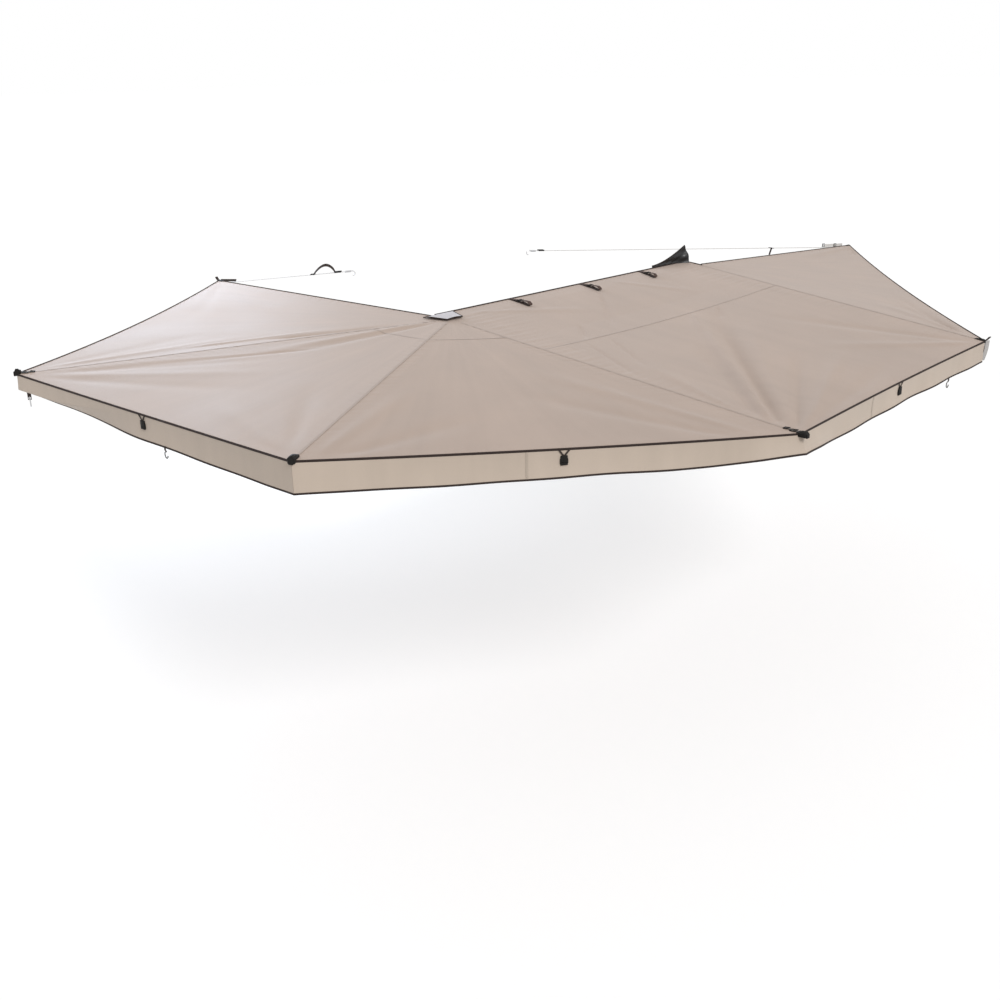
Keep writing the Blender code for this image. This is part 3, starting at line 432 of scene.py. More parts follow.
def tube(name, path, radius, finish, sides, closed=False, flat=1.0):
    """A round or oval tube along a path, with UVs in metres along it."""
    path = [Vector(p) for p in path]
    count = len(path)
    points, uvs, run = [], [], 0.0
    normal = None
    for k, p in enumerate(path):
        before = path[k - 1] if k or closed else p
        after = path[(k + 1) % count] if k < count - 1 or closed else p
        ahead = (after - before).normalized()
        guide = UP if normal is None else normal
        if abs(ahead.dot(guide)) > 0.95:
            guide = Vector((1, 0, 0)) if normal is None else guide
        normal = (guide - ahead * guide.dot(ahead)).normalized()
        aside = ahead.cross(normal)
        run += (p - path[k - 1]).length if k else 0.0
        for j in range(sides):
            a = 2 * math.pi * j / sides
            points.append(p + normal * radius * flat * math.sin(a) + aside * radius * math.cos(a))
            uvs.append((run, radius * a))
    rings = count if closed else count - 1
    faces = [(k * sides + j, k * sides + (j + 1) % sides,
              (k + 1) % count * sides + (j + 1) % sides, (k + 1) % count * sides + j)
             for k in range(rings) for j in range(sides)]
    if not closed:
        faces += [tuple(range(sides))[::-1], tuple((count - 1) * sides + j for j in range(sides))]
    return mesh_piece(name, points, [f[::-1] for f in faces], finish, uvs)


print("builders ready")

# %% [markdown]
# ## Small helpers for materials
# Every finish is a set of shader nodes and no picture. One helper adds a node and another gives a
# socket its number, colour or link. The rest of each recipe can then be read from top to bottom.

# %% Material helpers
def shader_of(finish):
    return finish.node_tree.nodes["Principled BSDF"]


def plug(owner, value, socket):
    """Gives a socket a number, a colour, a vector or another node's output."""
    if isinstance(value, (int, float)):
        socket.default_value = value
    elif isinstance(value, tuple):
        socket.default_value = (*value, 1)[:len(socket.default_value)]
    else:
        owner.node_tree.links.new(value, socket)


def feed(finish, socket, value):
    """Sets one input of the finish's shader."""
    plug(finish, value, shader_of(finish).inputs[socket])


def new_finish(name, colour, roughness, metallic=0.0, sheen=0.0, coat=0.0, specular=0.5):
    finish = bpy.data.materials.new(name)
    finish.use_nodes = True
    for socket, value in (("Base Color", colour), ("Roughness", roughness),
                          ("Metallic", metallic), ("Sheen Weight", sheen),
                          ("Coat Weight", coat), ("Specular IOR Level", specular)):
        feed(finish, socket, value)
    return finish


def add_node(owner, kind, *given, **named):
    """A new node, with some of its inputs given in their order and others by name."""
    node = owner.node_tree.nodes.new(kind)
    for key, value in named.items():
        if key in node.inputs:
            plug(owner, value, node.inputs[key])
        else:
            setattr(node, key, value)
    for value, socket in zip(given, node.inputs):
        plug(owner, value, socket)
    return node


def tint(colour, share):
    """A colour made darker or paler."""
    return tuple(min(1.0, c * share) for c in colour)


def shades(finish, factor, low, high, at=(0.3, 0.7)):
    """A colour ramp from one shade to another, driven by a pattern."""
    ramp = add_node(finish, "ShaderNodeValToRGB", factor)
    for element, place, colour in zip(ramp.color_ramp.elements, at, (low, high)):
        element.position, element.color = place, (*colour, 1)
    return ramp.outputs["Color"]


def mix_by(finish, factor, first, second, kind="MIX"):
    mix = add_node(finish, "ShaderNodeMix", data_type="RGBA", blend_type=kind)
    for value, index in ((factor, 0), (first, 6), (second, 7)):
        plug(finish, value, mix.inputs[index])
    return mix.outputs[2]


def maths(owner, operation, *values):
    return add_node(owner, "ShaderNodeMath", *values, operation=operation).outputs[0]


def bump(finish, height, strength, distance):
    node = add_node(finish, "ShaderNodeBump", Height=height, Strength=strength, Distance=distance)
    feed(finish, "Normal", node.outputs["Normal"])


def rough_by(finish, pattern, low, high):
    """A pattern turns the finish from one roughness to another."""
    spread = add_node(finish, "ShaderNodeMapRange", pattern, **{"To Min": low, "To Max": high})
    feed(finish, "Roughness", spread.outputs["Result"])


def where(finish, kind="Object"):
    """The coordinates that a pattern reads: the object's own, or its UVs in metres."""
    return add_node(finish, "ShaderNodeTexCoord").outputs[kind]


def noise(finish, place, scale, detail, roughness=0.5):
    return add_node(finish, "ShaderNodeTexNoise", place, Scale=scale, Detail=detail,
                    Roughness=roughness).outputs["Fac"]


def waves(finish, place, scale, axis):
    return add_node(finish, "ShaderNodeTexWave", place, wave_type="BANDS", bands_direction=axis,
                    wave_profile="SIN", Scale=scale, Distortion=0.0).outputs["Fac"]


print("material helpers ready")

# %% [markdown]
# ## Canvas
# The canopy is a tightly woven, coated canvas in a warm grey-brown. Two sets of fine waves make
# the weave, and slow noise varies the shade as dye and handling do. A little sheen brightens it
# at low angles, where coated cloth looks pale against the light.

# %% Canvas finish
CANVAS, THREADS = (0.487, 0.377, 0.310), 260.0


def canvas_finish(name, colour, streaks=1.0):
    finish = new_finish(name, colour, 0.62, sheen=0.25, specular=0.35)
    place = where(finish, "UV")
    mottle = noise(finish, place, 1.6, 4.0, 0.55)
    drawn_out = add_node(finish, "ShaderNodeMapping", place, Scale=(9.0, 0.7, 1.0))
    streak = noise(finish, drawn_out.outputs["Vector"], 1.0, 3.0)
    limits = tint(colour, 1 - 0.10 * streaks), tint(colour, 1 + 0.07 * streaks)
    base = mix_by(finish, 0.35, shades(finish, mottle, *limits), shades(finish, streak, *limits))
    weave = maths(finish, "MULTIPLY", *(waves(finish, place, THREADS, axis) for axis in "XY"))
    feed(finish, "Base Color", mix_by(finish, 0.10, base, weave, "MULTIPLY"))
    rough_by(finish, mottle, 0.52, 0.72)
    bump(finish, weave, 0.12, 0.0004)
    return finish


canvas = canvas_finish("canopy_canvas", CANVAS)
# Painted light: the valance is the canopy's canvas with its colour painted paler, in place of the brighter light on its
# upright face.
valance_canvas = canvas_finish("valance_canvas", (0.575, 0.480, 0.396))
print("made", canvas.name, valance_canvas.name)

# %% [markdown]
# ## Webbing, piping and vinyl
# Webbing is woven narrow tape: diagonal ribs across it and a slight fuzz. Piping is a cord in a
# strip of the same dark cloth. The bag is a glossy coated vinyl with a leathery grain, which a
# fine cell pattern gives.

# %% Dark fabric finishes
def webbing_finish(name, colour, lift=1.7):
    finish = new_finish(name, colour, 0.75, sheen=0.03, specular=0.22)
    place, light = where(finish, "UV"), tint(colour, lift)
    ribs = waves(finish, place, 90.0, "DIAGONAL")
    fuzz = noise(finish, place, 420.0, 2.0)
    feed(finish, "Base Color", mix_by(finish, 0.25, shades(finish, ribs, colour, light, (0.2, 0.9)),
                                      shades(finish, fuzz, colour, light)))
    bump(finish, ribs, 0.35, 0.0006)
    return finish


def vinyl_finish(name, colour):
    finish = new_finish(name, colour, 0.34, coat=0.10, specular=0.30)
    place = where(finish)
    grain = add_node(finish, "ShaderNodeTexVoronoi", place, Scale=420.0, feature="SMOOTH_F1")
    wear = noise(finish, place, 14.0, 5.0)
    feed(finish, "Base Color", shades(finish, wear, colour, tint(colour, 1.7), (0.35, 0.8)))
    feed(finish, "Roughness", shades(finish, wear, (0.24,) * 3, (0.44,) * 3))
    bump(finish, grain.outputs["Distance"], 0.25, 0.0008)
    return finish


dark_web = webbing_finish("dark_webbing", (0.032, 0.024, 0.021))
grey_web = webbing_finish("grey_webbing", (0.44, 0.43, 0.42), 1.2)
piping = webbing_finish("black_piping", (0.022, 0.014, 0.012))
vinyl = vinyl_finish("black_vinyl", (0.012, 0.012, 0.013))
flap_cloth = canvas_finish("pale_flap_cloth", (0.60, 0.575, 0.60), 0.6)
print("made", [m.name for m in (dark_web, grey_web, piping, vinyl, flap_cloth)])

# %% [markdown]
# ## Metal and moulded plastic
# The channels and rail are aluminium with an anodised skin, slightly cloudy and grained. Cast
# parts have a powder-coated pebble texture. Steel is brighter and smoother, and moulded plastic
# is a matt black that goes paler where it is rubbed.

# %% Hard finishes
def metal_finish(name, colour, roughness, depth=0.15):
    finish = new_finish(name, colour, roughness, metallic=1.0)
    place = where(finish)
    grain = noise(finish, place, 60.0, 4.0, 0.6)
    cloud = noise(finish, place, 5.0, 3.0)
    feed(finish, "Base Color", shades(finish, cloud, tint(colour, 0.88), colour))
    rough_by(finish, grain, roughness * 0.8, roughness * 1.25)
    bump(finish, grain, depth, 0.0003)
    return finish


def coated_finish(name, colour, roughness, scale, depth, worn=2.0, specular=0.5):
    finish = new_finish(name, colour, roughness, specular=specular)
    place = where(finish)
    cloud = noise(finish, place, 9.0, 4.0)
    feed(finish, "Base Color", shades(finish, cloud, colour, tint(colour, worn), (0.35, 0.85)))
    feed(finish, "Roughness", shades(finish, cloud, (roughness * 0.85,) * 3,
                                     (min(1, roughness * 1.2),) * 3))
    bump(finish, noise(finish, place, scale, 2.0), depth, 0.0004)
    return finish


anodised = metal_finish("anodised_aluminium", (0.66, 0.665, 0.67), 0.34)
steel = metal_finish("bright_steel", (0.60, 0.60, 0.61), 0.22, depth=0.08)
cast_black = coated_finish("powder_coated_casting", (0.022, 0.022, 0.024), 0.48, 900.0, 0.30)
moulded = coated_finish("moulded_black", (0.011, 0.010, 0.009), 0.56, 1600.0, 0.15, 1.7, 0.14)
dark_steel = metal_finish("blackened_steel", (0.17, 0.168, 0.165), 0.36, depth=0.08)
rubber = coated_finish("black_rubber", (0.020, 0.020, 0.020), 0.82, 700.0, 0.25, 1.6)
print("made", [m.name for m in (anodised, steel, dark_steel, cast_black, moulded, rubber)])

# %% [markdown]
# ## Finishes on the solids
# Most solids are already the right shape, so they only need a finish. The name of each node says
# what it is made of, and a short table from a word in the name to a finish covers them all.

# %% Finish the hard nodes
FINISH_OF = (("backing_rail", anodised), ("mount_bracket", cast_black), ("hub_bracket", cast_black),
             ("pivot_pin", steel), ("knuckle", cast_black), ("channel", anodised),
             ("_tube", anodised), ("slider", anodised), ("foot", rubber), ("tip_cap", moulded),
             ("strap_hook", steel), ("carabiner", steel))


def dress_nodes():
    dressed = 0
    for name, node in nodes.items():
        finish = next((finish for word, finish in FINISH_OF if word in name), None)
        if finish:
            node.data.materials.clear()
            node.data.materials.append(finish)
            dressed += 1
    return dressed


print("finished", dress_nodes(), "solids of", len(nodes))

# %% [markdown]
# ## How soft pieces follow the arms
# When the real awning is packed, its cloth gathers into narrow bundles beside the arms. So each
# fan panel rides on one of its two arms, and flattens sideways into a bundle as the arms close.
# Every bundle has its own distance from the stack of arms, which keeps them from crossing. The
# long panel gathers in the gap between the rail and the folded arms.

# %% Riding and gathering
BODY = {arm: arm + "_arm" for arm in ANGLE}
GATHER_AT = {"side": 0.026, "corner": 0.060, "rear": 0.094, "front": 0.128, "front_end": 0.190}
CARRIER = {"side_panel": "rail", "side_valance": "rail", "corner_panel": "side",
           "corner_valance": "side", "rear_panel": "corner", "rear_valance": "corner",
           "rear_wing_panel": "rear", "front_wing_panel": "front"}
BUNDLE, RAIL_BUNDLE = 0.014, 0.030


def gather(piece, arm):
    """The piece rides on an arm and closes into a bundle beside it as the awning folds."""
    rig.ride(piece, BODY[arm])
    a = math.radians(ANGLE[arm])
    beside = along(arm, 1.0, SIDE_OF[arm] * GATHER_AT[arm])
    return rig.squash(piece, "canopy_fold", axis=(-math.sin(a), math.cos(a), 0),
                     anchor=tuple(beside), keep=BUNDLE)


def carry(piece, by):
    """by is an arm to gather at, "rail" for the gap beside it, a body, or a function."""
    if callable(by):
        return by(piece)
    if by in GATHER_AT:
        return gather(piece, by)
    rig.ride(piece, "rail_assembly" if by == "rail" else by)
    if by == "rail":
        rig.squash(piece, "canopy_fold", axis=(0, 1, 0), anchor=(0, RAIL_OUT - 0.002, 0),
                  keep=RAIL_BUNDLE)
    return piece


def fit(piece, by, slot, replaced=None):
    """Carries a piece, says which solid it stands in for, and names its finish's slot."""
    carry(piece, by)
    if replaced:
        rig.replaces(piece, replaced)
    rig.slot(piece, slot)
    return piece


sewn = {}


def sew(piece, to):
    """Notes a small piece as sewn to a sheet, for the statement of the sheets at the end."""
    sewn.setdefault(to, []).append(piece)
    return piece


print("pieces are carried by", sorted(set(CARRIER.values())))

# %% [markdown]
# ## The five panels
# Each panel is laid on its own surface as a fine grid, lifted by its folds, and given the
# thickness of canvas. The folds die away towards the seams so that neighbours still meet. The
# front wing spans more than a right angle, so it is made as two cuts, one for each of its arms.

# %% Fan panels
FANS = {"corner_panel": ("side", "corner"), "rear_panel": ("corner", "rear"),
        "rear_wing_panel": ("rear", "rear_end"), "front_wing_panel": ("front_end", "front")}
CUTS = (("corner_panel_cloth", "corner_panel", "side", 0.0, 1.0),
        ("rear_panel_cloth", "rear_panel", "corner", 0.0, 1.0),
        ("rear_wing_panel_cloth", "rear_wing_panel", "rear", 0.0, 1.0),
        ("front_wing_panel_cloth", "front_wing_panel", "front", 0.5, 1.0),
        ("front_wing_end_cloth", "front_wing_panel", "front_end", 0.0, 0.5))
ACROSS, OUTWARD = 120, 140


def edge_mask(t, s):
    """1 inside a panel and 0 on its seams and edges."""
    side = min(1.0, min(t, 1 - t) * 22)
    end = min(1.0, (1 - s) * 30) * min(1.0, s * 12)
    return side * side * (3 - 2 * side) * end


def pucker(s, t, name):
    """Fine ripples that run along a sewn seam and die away within a hand's width of it."""
    near = min(t, 1 - t) * (0.2 + s) * 2.3
    shift = len(name) * 1.7 + (3.0 if t > 0.5 else 0.0)
    ripple = math.sin(s * 260 + shift) + 0.6 * math.sin(s * 151 + 2 * shift)
    return 0.0011 * ripple * min(1.0, near / 0.03) * math.exp(-(near / 0.10) ** 2) * (1 - s) ** 0.3


def fan_surface(name, s, t):
    """The panel with its folds and puckers."""
    point = fan_point(*FANS[name], s, t)
    point.z += fold_height(name, point) * edge_mask(t, s) + pucker(s, t, name)
    return point


def fan_cloth(name, panel, arm, low, high):
    """The cloth of a panel between two shares of the way from its first arm to its second."""
    first, second = FANS[panel]
    chord = (seam(first, CLOTH_REACH) - seam(second, CLOTH_REACH)).length
    piece = grid_piece(name, lambda x, y: fan_surface(panel, y, high - (high - low) * x),
                       round(ACROSS * (high - low)), OUTWARD,
                       (chord * (high - low), CLOTH_REACH), canvas,
                       uv_from=(chord * (1 - high), 0.0))
    return fit(piece, arm, "canvas", panel)


for name, panel, arm, low, high in CUTS:
    print(fan_cloth(name, panel, arm, low, high).name, "gathers at the", arm, "arm")

# %% [markdown]
# ## The long side panel
# This panel starts in the rail's groove, turns over the rail's edge and runs out to the long side.
# The narrow strip on the rail stays there for good, so it is a piece of its own, and the rest
# shares its edge exactly.

# %% Long side panel
def side_surface(x, v):
    """The long panel with its folds and puckers, which stay off the rail."""
    point = side_point(x, v)
    free = min(1.0, max(0.0, v - RAIL_SHARE) * 20)
    point.z += (fold_height("side_panel", point) * edge_mask(x, v) + pucker(v, x, "side")) * free
    return point


SIDE_LONG, SIDE_DEEP, ON_RAIL = 2.30, 2.575, 0.033
side_cloth = grid_piece("side_panel_cloth",
                        lambda x, y: side_surface(x, RAIL_SHARE + (1 - RAIL_SHARE) * y), 190, 180,
                        (SIDE_LONG, SIDE_DEEP), canvas, uv_from=(0.0, ON_RAIL))
rail_cloth = grid_piece("rail_edge_cloth", lambda x, y: side_surface(x, RAIL_SHARE * y), 190, 4,
                        (SIDE_LONG, ON_RAIL), canvas)
fit(side_cloth, "rail", "canvas", "side_panel")
fit(rail_cloth, "rail_assembly", "canvas")
for piece in (side_cloth, rail_cloth):
    print(piece.name, len(piece.data.vertices), "points")

# %% [markdown]
# ## Seams
# Panels are joined by a flat seam: both edges are folded into each other and sewn down with two
# rows of thread. A narrow strip on top of the cloth shows it. One strip lies over each arm, and
# others join the widths of cloth in the long panel and edge the strengthened part at the hub.

# %% Seam strips
STITCH_RUN, STITCH_GAP = 0.0035, 0.0012
HALF_STRIP, ROW_AT, ROW_HALF = 0.008, 0.0045, 0.0008


def stitched_finish(name, colour):
    """Canvas with two rows of stitches, for strips whose UVs run along them in metres."""
    finish = canvas_finish(name, colour, 0.6)
    split = add_node(finish, "ShaderNodeSeparateXYZ", where(finish, "UV")).outputs
    dash = maths(finish, "PINGPONG", split["X"], STITCH_RUN)
    row = maths(finish, "PINGPONG", split["Y"], HALF_STRIP)
    thread = maths(finish, "MULTIPLY", maths(finish, "GREATER_THAN", dash, STITCH_GAP),
                   maths(finish, "COMPARE", row, ROW_AT, ROW_HALF))
    base = shader_of(finish).inputs["Base Color"].links[0].from_socket
    feed(finish, "Base Color", mix_by(finish, thread, base, tint(colour, 0.62)))
    return finish


seam_canvas = stitched_finish("seam_canvas", tint(CANVAS, 0.90))


def strip(name, line, width, finish, count, raised=0.0013, thick=0.0006, facing=UP):
    """A flat strip along line(t), laid just above the cloth, with UVs in metres along it."""
    points = [Vector(line(k / count)) for k in range(count + 1)]
    long = sum((b - a).length for a, b in zip(points, points[1:]))
    up = Vector(facing).normalized()

    def surface(x, y):
        k = round(x * count)
        ahead = (points[min(count, k + 1)] - points[max(0, k - 1)]).normalized()
        aside = up.cross(ahead).normalized()
        return points[k] + aside * (y - 0.5) * width + up * raised
    return grid_piece(name, surface, count, 2, (long, width), finish, facing, thick)


def make_arm_seams():
    made = []
    for arm, cloth, start in (("side", "corner_panel", 0.10), ("corner", "rear_panel", 0.03),
                              ("rear", "rear_wing_panel", 0.03),
                              ("front", "front_wing_panel", 0.03)):
        piece = strip(f"{arm}_seam", lambda t: seam(arm, start + (CLOTH_REACH - 0.004 - start) * t),
                      0.016, seam_canvas, 90)
        made.append(sew(fit(piece, arm, "canvas"), cloth + "_cloth"))
    return made


def share_at(y):
    """The long panel's share where its middle line is at a given y."""
    low, high = RAIL_SHARE, 1.0
    for _ in range(40):
        middle = (low + high) / 2
        low, high = (middle, high) if side_point(0.5, middle).y > y else (low, middle)
    return low


def make_cross_seams():
    v = share_at(-0.965)
    lines = {"side_panel": (90, lambda t: side_surface(0.004 + 0.992 * t, v)),
             "corner_panel": (48, lambda t: fan_surface("corner_panel", 0.195, 0.01 + 0.98 * t)),
             "rear_panel": (48, lambda t: fan_surface("rear_panel", 0.195, 0.01 + 0.98 * t))}
    made = []
    for name, (count, line) in lines.items():
        piece = strip(name.replace("panel", "cross_seam"), line, 0.014, seam_canvas, count)
        made.append(sew(fit(piece, CARRIER[name], "canvas"), name + "_cloth"))
    return made


arm_seams, cross_seams = make_arm_seams(), make_cross_seams()
print("seams", [piece.name for piece in arm_seams + cross_seams])

# %% [markdown]
# ## The valance
# A strip of the same canvas, its colour painted paler as painted light on its upright face, hangs
# from the three outer edges. It is sewn on, so its top follows the cut edge exactly, while its hem
# swings a little in and out. Neighbouring strips share the line where they meet at a corner, so the
# valance reads as one. How deep it hangs, its flare at the side corner and its tuck near the rear
# corner are read from the photograph.

# %% Valance strips
EDGES = {"side_valance": lambda t: side_point(1 - t, 1),
         "corner_valance": lambda t: fan_point("side", "corner", 1, t),
         "rear_valance": lambda t: fan_point("corner", "rear", 1, t)}
ENDS = {"side_valance": ("front", "side"), "corner_valance": ("side", "corner"),
        "rear_valance": ("corner", "rear")}
DROP_AT = {"front": 0.122, "side": 0.126, "corner": 0.147, "rear": 0.120}
FLARE_AT = {"side": 0.036, "rear": 0.012}
LIFT_AT = {"side": 0.034}
WAVES, CORNER_SHARE, TURN_FROM = 9, 0.20, 0.95


def outward(edge, t):
    ahead = edge(min(1, t + 0.002)) - edge(max(0, t - 0.002))
    return Vector((-ahead.y, ahead.x, 0)).normalized()


def corner_out(name, t):
    """The outward direction, turned to the arm's own near a corner that two strips share."""
    own = outward(EDGES[name], t)
    for arm, near in zip(ENDS[name], (1 - t, t)):
        if arm in ("side", "corner") and near > TURN_FROM:
            share = smooth((near - TURN_FROM) / (1 - TURN_FROM))
            own = own.lerp(heading(arm)[0], share).normalized()
    return own


def tuck(t):
    """How far the rear hem is blown in, as an angle, and how far down its crease runs."""
    return math.radians(74) * smooth((t - 0.50) / 0.50), 0.30 + 0.42 * smooth((t - 0.60) / 0.28)


def hang(name, t, drop):
    """A point of a valance, at a share of the way along its edge and down to its hem.

    Towards the rear corner the lower part is blown in under a crease, as in the photograph.
    """
    point, out = EDGES[name](t), corner_out(name, t)
    calm = min(1, 12 * min(t, 1 - t))
    first, second = ENDS[name]
    near = {first: smooth(1 - t / CORNER_SHARE), second: smooth(1 - (1 - t) / CORNER_SHARE)}
    flare, lift_by = (sum(amount.get(arm, 0.0) * share for arm, share in near.items())
                      for amount in (FLARE_AT, LIFT_AT))
    deep = DROP_AT[first] + (DROP_AT[second] - DROP_AT[first]) * t - lift_by
    wave = 0.004 * math.sin(math.pi * WAVES * t) + 0.002 * math.sin(23 * t + 1.0)
    wave *= {"side_valance": 0.8 + 0.5 * t, "rear_valance": 0.4}.get(name, 1.0)
    turn, crease = tuck(t) if name == "rear_valance" else (0.0, 1.0)
    low = max(0.0, drop - crease) * deep
    point += out * (wave * drop ** 1.5 * calm + 0.0006 - 0.005 * hump(drop) * hump(t))
    point += out * (flare * drop ** 1.5 - low * math.sin(turn))
    point.z -= 0.0005 + (min(drop, crease) * deep + low * math.cos(turn)
                         + 0.002 * math.sin(11 * t) * calm * drop)
    return point


def make_valances():
    made = []
    for name, edge in EDGES.items():
        piece = grid_piece(name + "_cloth", lambda x, y: hang(name, x, 1 - y), 150, 19,
                           ((edge(0) - edge(1)).length, VALANCE_DROP), valance_canvas,
                           facing=outward(edge, 0.5), thick=0.0010)
        made.append(fit(piece, CARRIER[name], "valance_canvas", name))
    return made


print("made", [piece.name for piece in make_valances()])

# %% [markdown]
# ## Binding
# Black tape is folded over every free edge and over the hem and sewn through. It draws the dark
# outline of the awning. An upright oval tube along the very same edge functions is exact, and it
# follows the same arms as the cloth that it is sewn to.

# %% Binding runs
BINDING = 0.0030


def bind(name, point_at, count, by, to, tall=1.8):
    """Binding along a line, carried by an arm, the rail or a body, and sewn to a sheet."""
    piece = tube(name, [point_at(k / count) for k in range(count + 1)], BINDING, piping, 10,
                 flat=tall)
    return sew(fit(piece, by, "webbing"), to)


def lift(point, by):
    return Vector((point.x, point.y, point.z + by))


def make_bindings():
    for name in EDGES:
        for part, drop, count, tall in (("top", 0.02, 90, 2.0), ("hem", 1.0, 150, 1.7)):
            bind(f"{name}_{part}_binding", lambda t: hang(name, t, drop), count, CARRIER[name],
                 name + "_cloth", tall)
    for cloth, panel, arm, low, high in CUTS[2:]:
        bind(cloth.replace("cloth", "outer_binding"),
             lambda t: lift(fan_point(*FANS[panel], 1, low + (high - low) * t), 0.001),
             round(90 * (high - low)), arm, cloth)
    for arm, by, cloth in (("rear_end", "rear_end_arm", "rear_wing_panel_cloth"),
                           ("front_end", "front_end", "front_wing_end_cloth")):
        bind(arm + "_inner_binding", lambda t: lift(seam(arm, 0.03 + 2.434 * t), 0.001), 60, by,
             cloth)
    bind("rail_edge_binding", lambda t: lift(side_point(t, 0.0), 0.003), 60, "rail_assembly",
         "rail_edge_cloth")
    bind("front_hub_binding", lambda t: lift(seam("front", -0.150 + 0.185 * t), 0.002), 12, "rail",
         "side_panel_cloth")


make_bindings()
print("binding runs:", sum("binding" in piece.name for runs in sewn.values() for piece in runs))

# %% [markdown]
# ## Small hardware
# Buckles, caps and locks are moulded from a few rounded blocks. One helper makes a whole piece
# from a list of boxes in a local frame, rounds each of them, and sets the frame where the piece
# belongs. A second one lays webbing along a path, and its cut size is measured as it is made.

# %% Blocks and ribbons
ribbons = []
LOCK = [((-.016, y, -.002), (.016, y + .004, .003)) for y in (-.019, .015)]
LOCK += [((x, -.017, -.0015), (x + .005, .017, .002)) for x in (-.016, -.003, .010)]
LOCK += [((.012, -.017, 0), (.020, .017, .005))]
BUCKLE = [((-.024, -.016, -.004), (.006, .016, .005)), ((.008, -.017, -.004), (.020, .017, .005)),
          ((-.010, -.019, -.003), (.012, -.015, .004)), ((-.010, .015, -.003), (.012, .019, .004)),
          ((-.020, -.003, .003), (.016, .003, .0062))]


def frame_at(origin, ahead, up=UP):
    """A placing matrix whose X runs ahead and whose Z is as near to up as it can be."""
    x = Vector(ahead).normalized()
    y = Vector(up).cross(x).normalized()
    return Matrix.Translation(origin) @ Matrix((x, y, x.cross(y))).transposed().to_4x4()


def add_box(work, low, high):
    """A box between two corners. Its points and its size come back."""
    low, high = Vector(low), Vector(high)
    place = Matrix.Translation((low + high) / 2) @ Matrix.Diagonal((*(high - low), 1))
    return bmesh.ops.create_cube(work, size=1, matrix=place)["verts"], high - low


def moulding(name, work):
    mesh = bpy.data.meshes.new(name)
    work.to_mesh(mesh)
    work.free()
    mesh.materials.append(moulded)
    return put(name, mesh)


def blocks(name, boxes, at, body, scale=1.0, soft=0.0012, rods=()):
    """One moulded piece of rounded boxes and round rods, such as LOCK or BUCKLE."""
    work = bmesh.new()
    for box in boxes:
        points, size = add_box(work, *([v * scale for v in corner] for corner in box))
        edges = {edge for point in points for edge in point.link_edges}
        bmesh.ops.bevel(work, geom=list(edges), offset=min(soft, 0.4 * min(size)), segments=3,
                        profile=0.5, affect="EDGES")
    for start, end, radius in rods:
        start, end = Vector(start), Vector(end)
        turn = (end - start).to_track_quat("Z", "Y").to_matrix().to_4x4()
        bmesh.ops.create_cone(work, cap_ends=True, segments=20, radius1=radius, radius2=radius,
                              depth=(end - start).length,
                              matrix=Matrix.Translation((start + end) / 2) @ turn)
    work.transform(at)
    piece = moulding(name, work)
    piece.data.shade_smooth()
    piece.data.set_sharp_from_angle(angle=math.radians(40))
    return fit(piece, body, "black_moulding")


def ribbon(name, path, aside, width, finish, body, on, held="stretched", thick=0.0014):
    """Flat webbing along a path. aside is the direction across it."""
    path, across = [Vector(p) for p in path], Vector(aside).normalized()
    long = sum((b - a).length for a, b in zip(path, path[1:]))
    count = len(path) - 1

    def surface(x, y):
        return path[round(x * count)] + across * (y - 0.5) * width
    piece = grid_piece(name, surface, count, 2, (long, width), finish, None, thick, offset=0)
    ribbons.append((piece, (long, width), held, [on]))
    return fit(piece, body, "webbing")


print("a lock has", len(LOCK), "blocks and a buckle", len(BUCKLE))

# %% [markdown]
# ## Corner caps
# Each arm's tip pokes through the corner of the cloth into a moulded cap that sits on top. At two
# corners a short tab of webbing with an adjuster runs back from it along the seam, so that the
# corner can be pulled tight. At two others the loose end of the webbing stands up.

# %% Corner caps
CAPS = {"corner": (0.017, 0.058, 0.034, 0, 0.010, -0.014),
        "side": (0.015, 0.052, 0.034, 0.075, 0.040, -0.012),
        "rear": (0.028, 0.034, 0.030, 0.070, 0.018, -0.008),
        "front": (0.010, 0.062, 0.026, 0, 0.004, -0.010),
        "rear_end": (0.008, 0.050, 0.026, 0, 0.0, -0.010),
        "front_end": (0.008, 0.090, 0.024, 0, 0.0, -0.010)}


def corner_cap(arm, tall, long, wide, tab, past, low):
    """A cap that reaches past the seam's end, and its tab if that has a length."""
    out, aside = heading(arm)
    at = frame_at(seam(arm, CLOTH_REACH - 0.006 + past), -out)
    w, knob = wide / 2, long * 0.80
    boxes = [((0, -w, low), (long, w, tall * 0.75)),
             ((0.004, -w * 0.8, 0), (long * 0.7, w * 0.8, tall)),
             ((-0.006, -w * 0.7, low - 0.002), (0.004, w * 0.7, tall * 0.55)),
             ((long * 0.15, -0.003, tall * 0.9), (long * 0.62, 0.003, tall + 0.002))]
    blocks(f"{arm}_corner_cap", boxes, at, BODY[arm], soft=0.004,
           rods=[((knob, 0, 0), (knob, 0, tall * 0.75 + 0.0015), 0.0055)])
    if not tab:
        return
    inner = CLOTH_REACH - 0.006 + past - long
    line = [lift(seam(arm, inner + 0.006 - (tab + 0.006) * k / 12), 0.004 + 0.0015 * math.sin(k))
            for k in range(13)]
    ribbon(f"{arm}_corner_tab", line, aside, 0.016, dark_tab, BODY[arm], f"{arm}_corner_cap")
    for label, k, scale in (("lock", 4, 0.9), ("ring", 10, 0.75)):
        blocks(f"{arm}_corner_{label}", LOCK,
               frame_at(lift(line[k], 0.001), line[k] - line[k - 1]), BODY[arm], scale)


def spike(arm, rise):
    """The loose end of a corner's webbing, which stands up past the cap."""
    out, aside = heading(arm)
    foot = seam(arm, CLOTH_REACH - 0.012)
    path = [foot + out * 0.042 * k / 8 + UP * (rise * (k / 8) ** 2) for k in range(9)]
    return ribbon(f"{arm}_corner_spike", path, aside, 0.020, dark_web, BODY[arm],
                  f"{arm}_corner_cap", thick=0.0045)


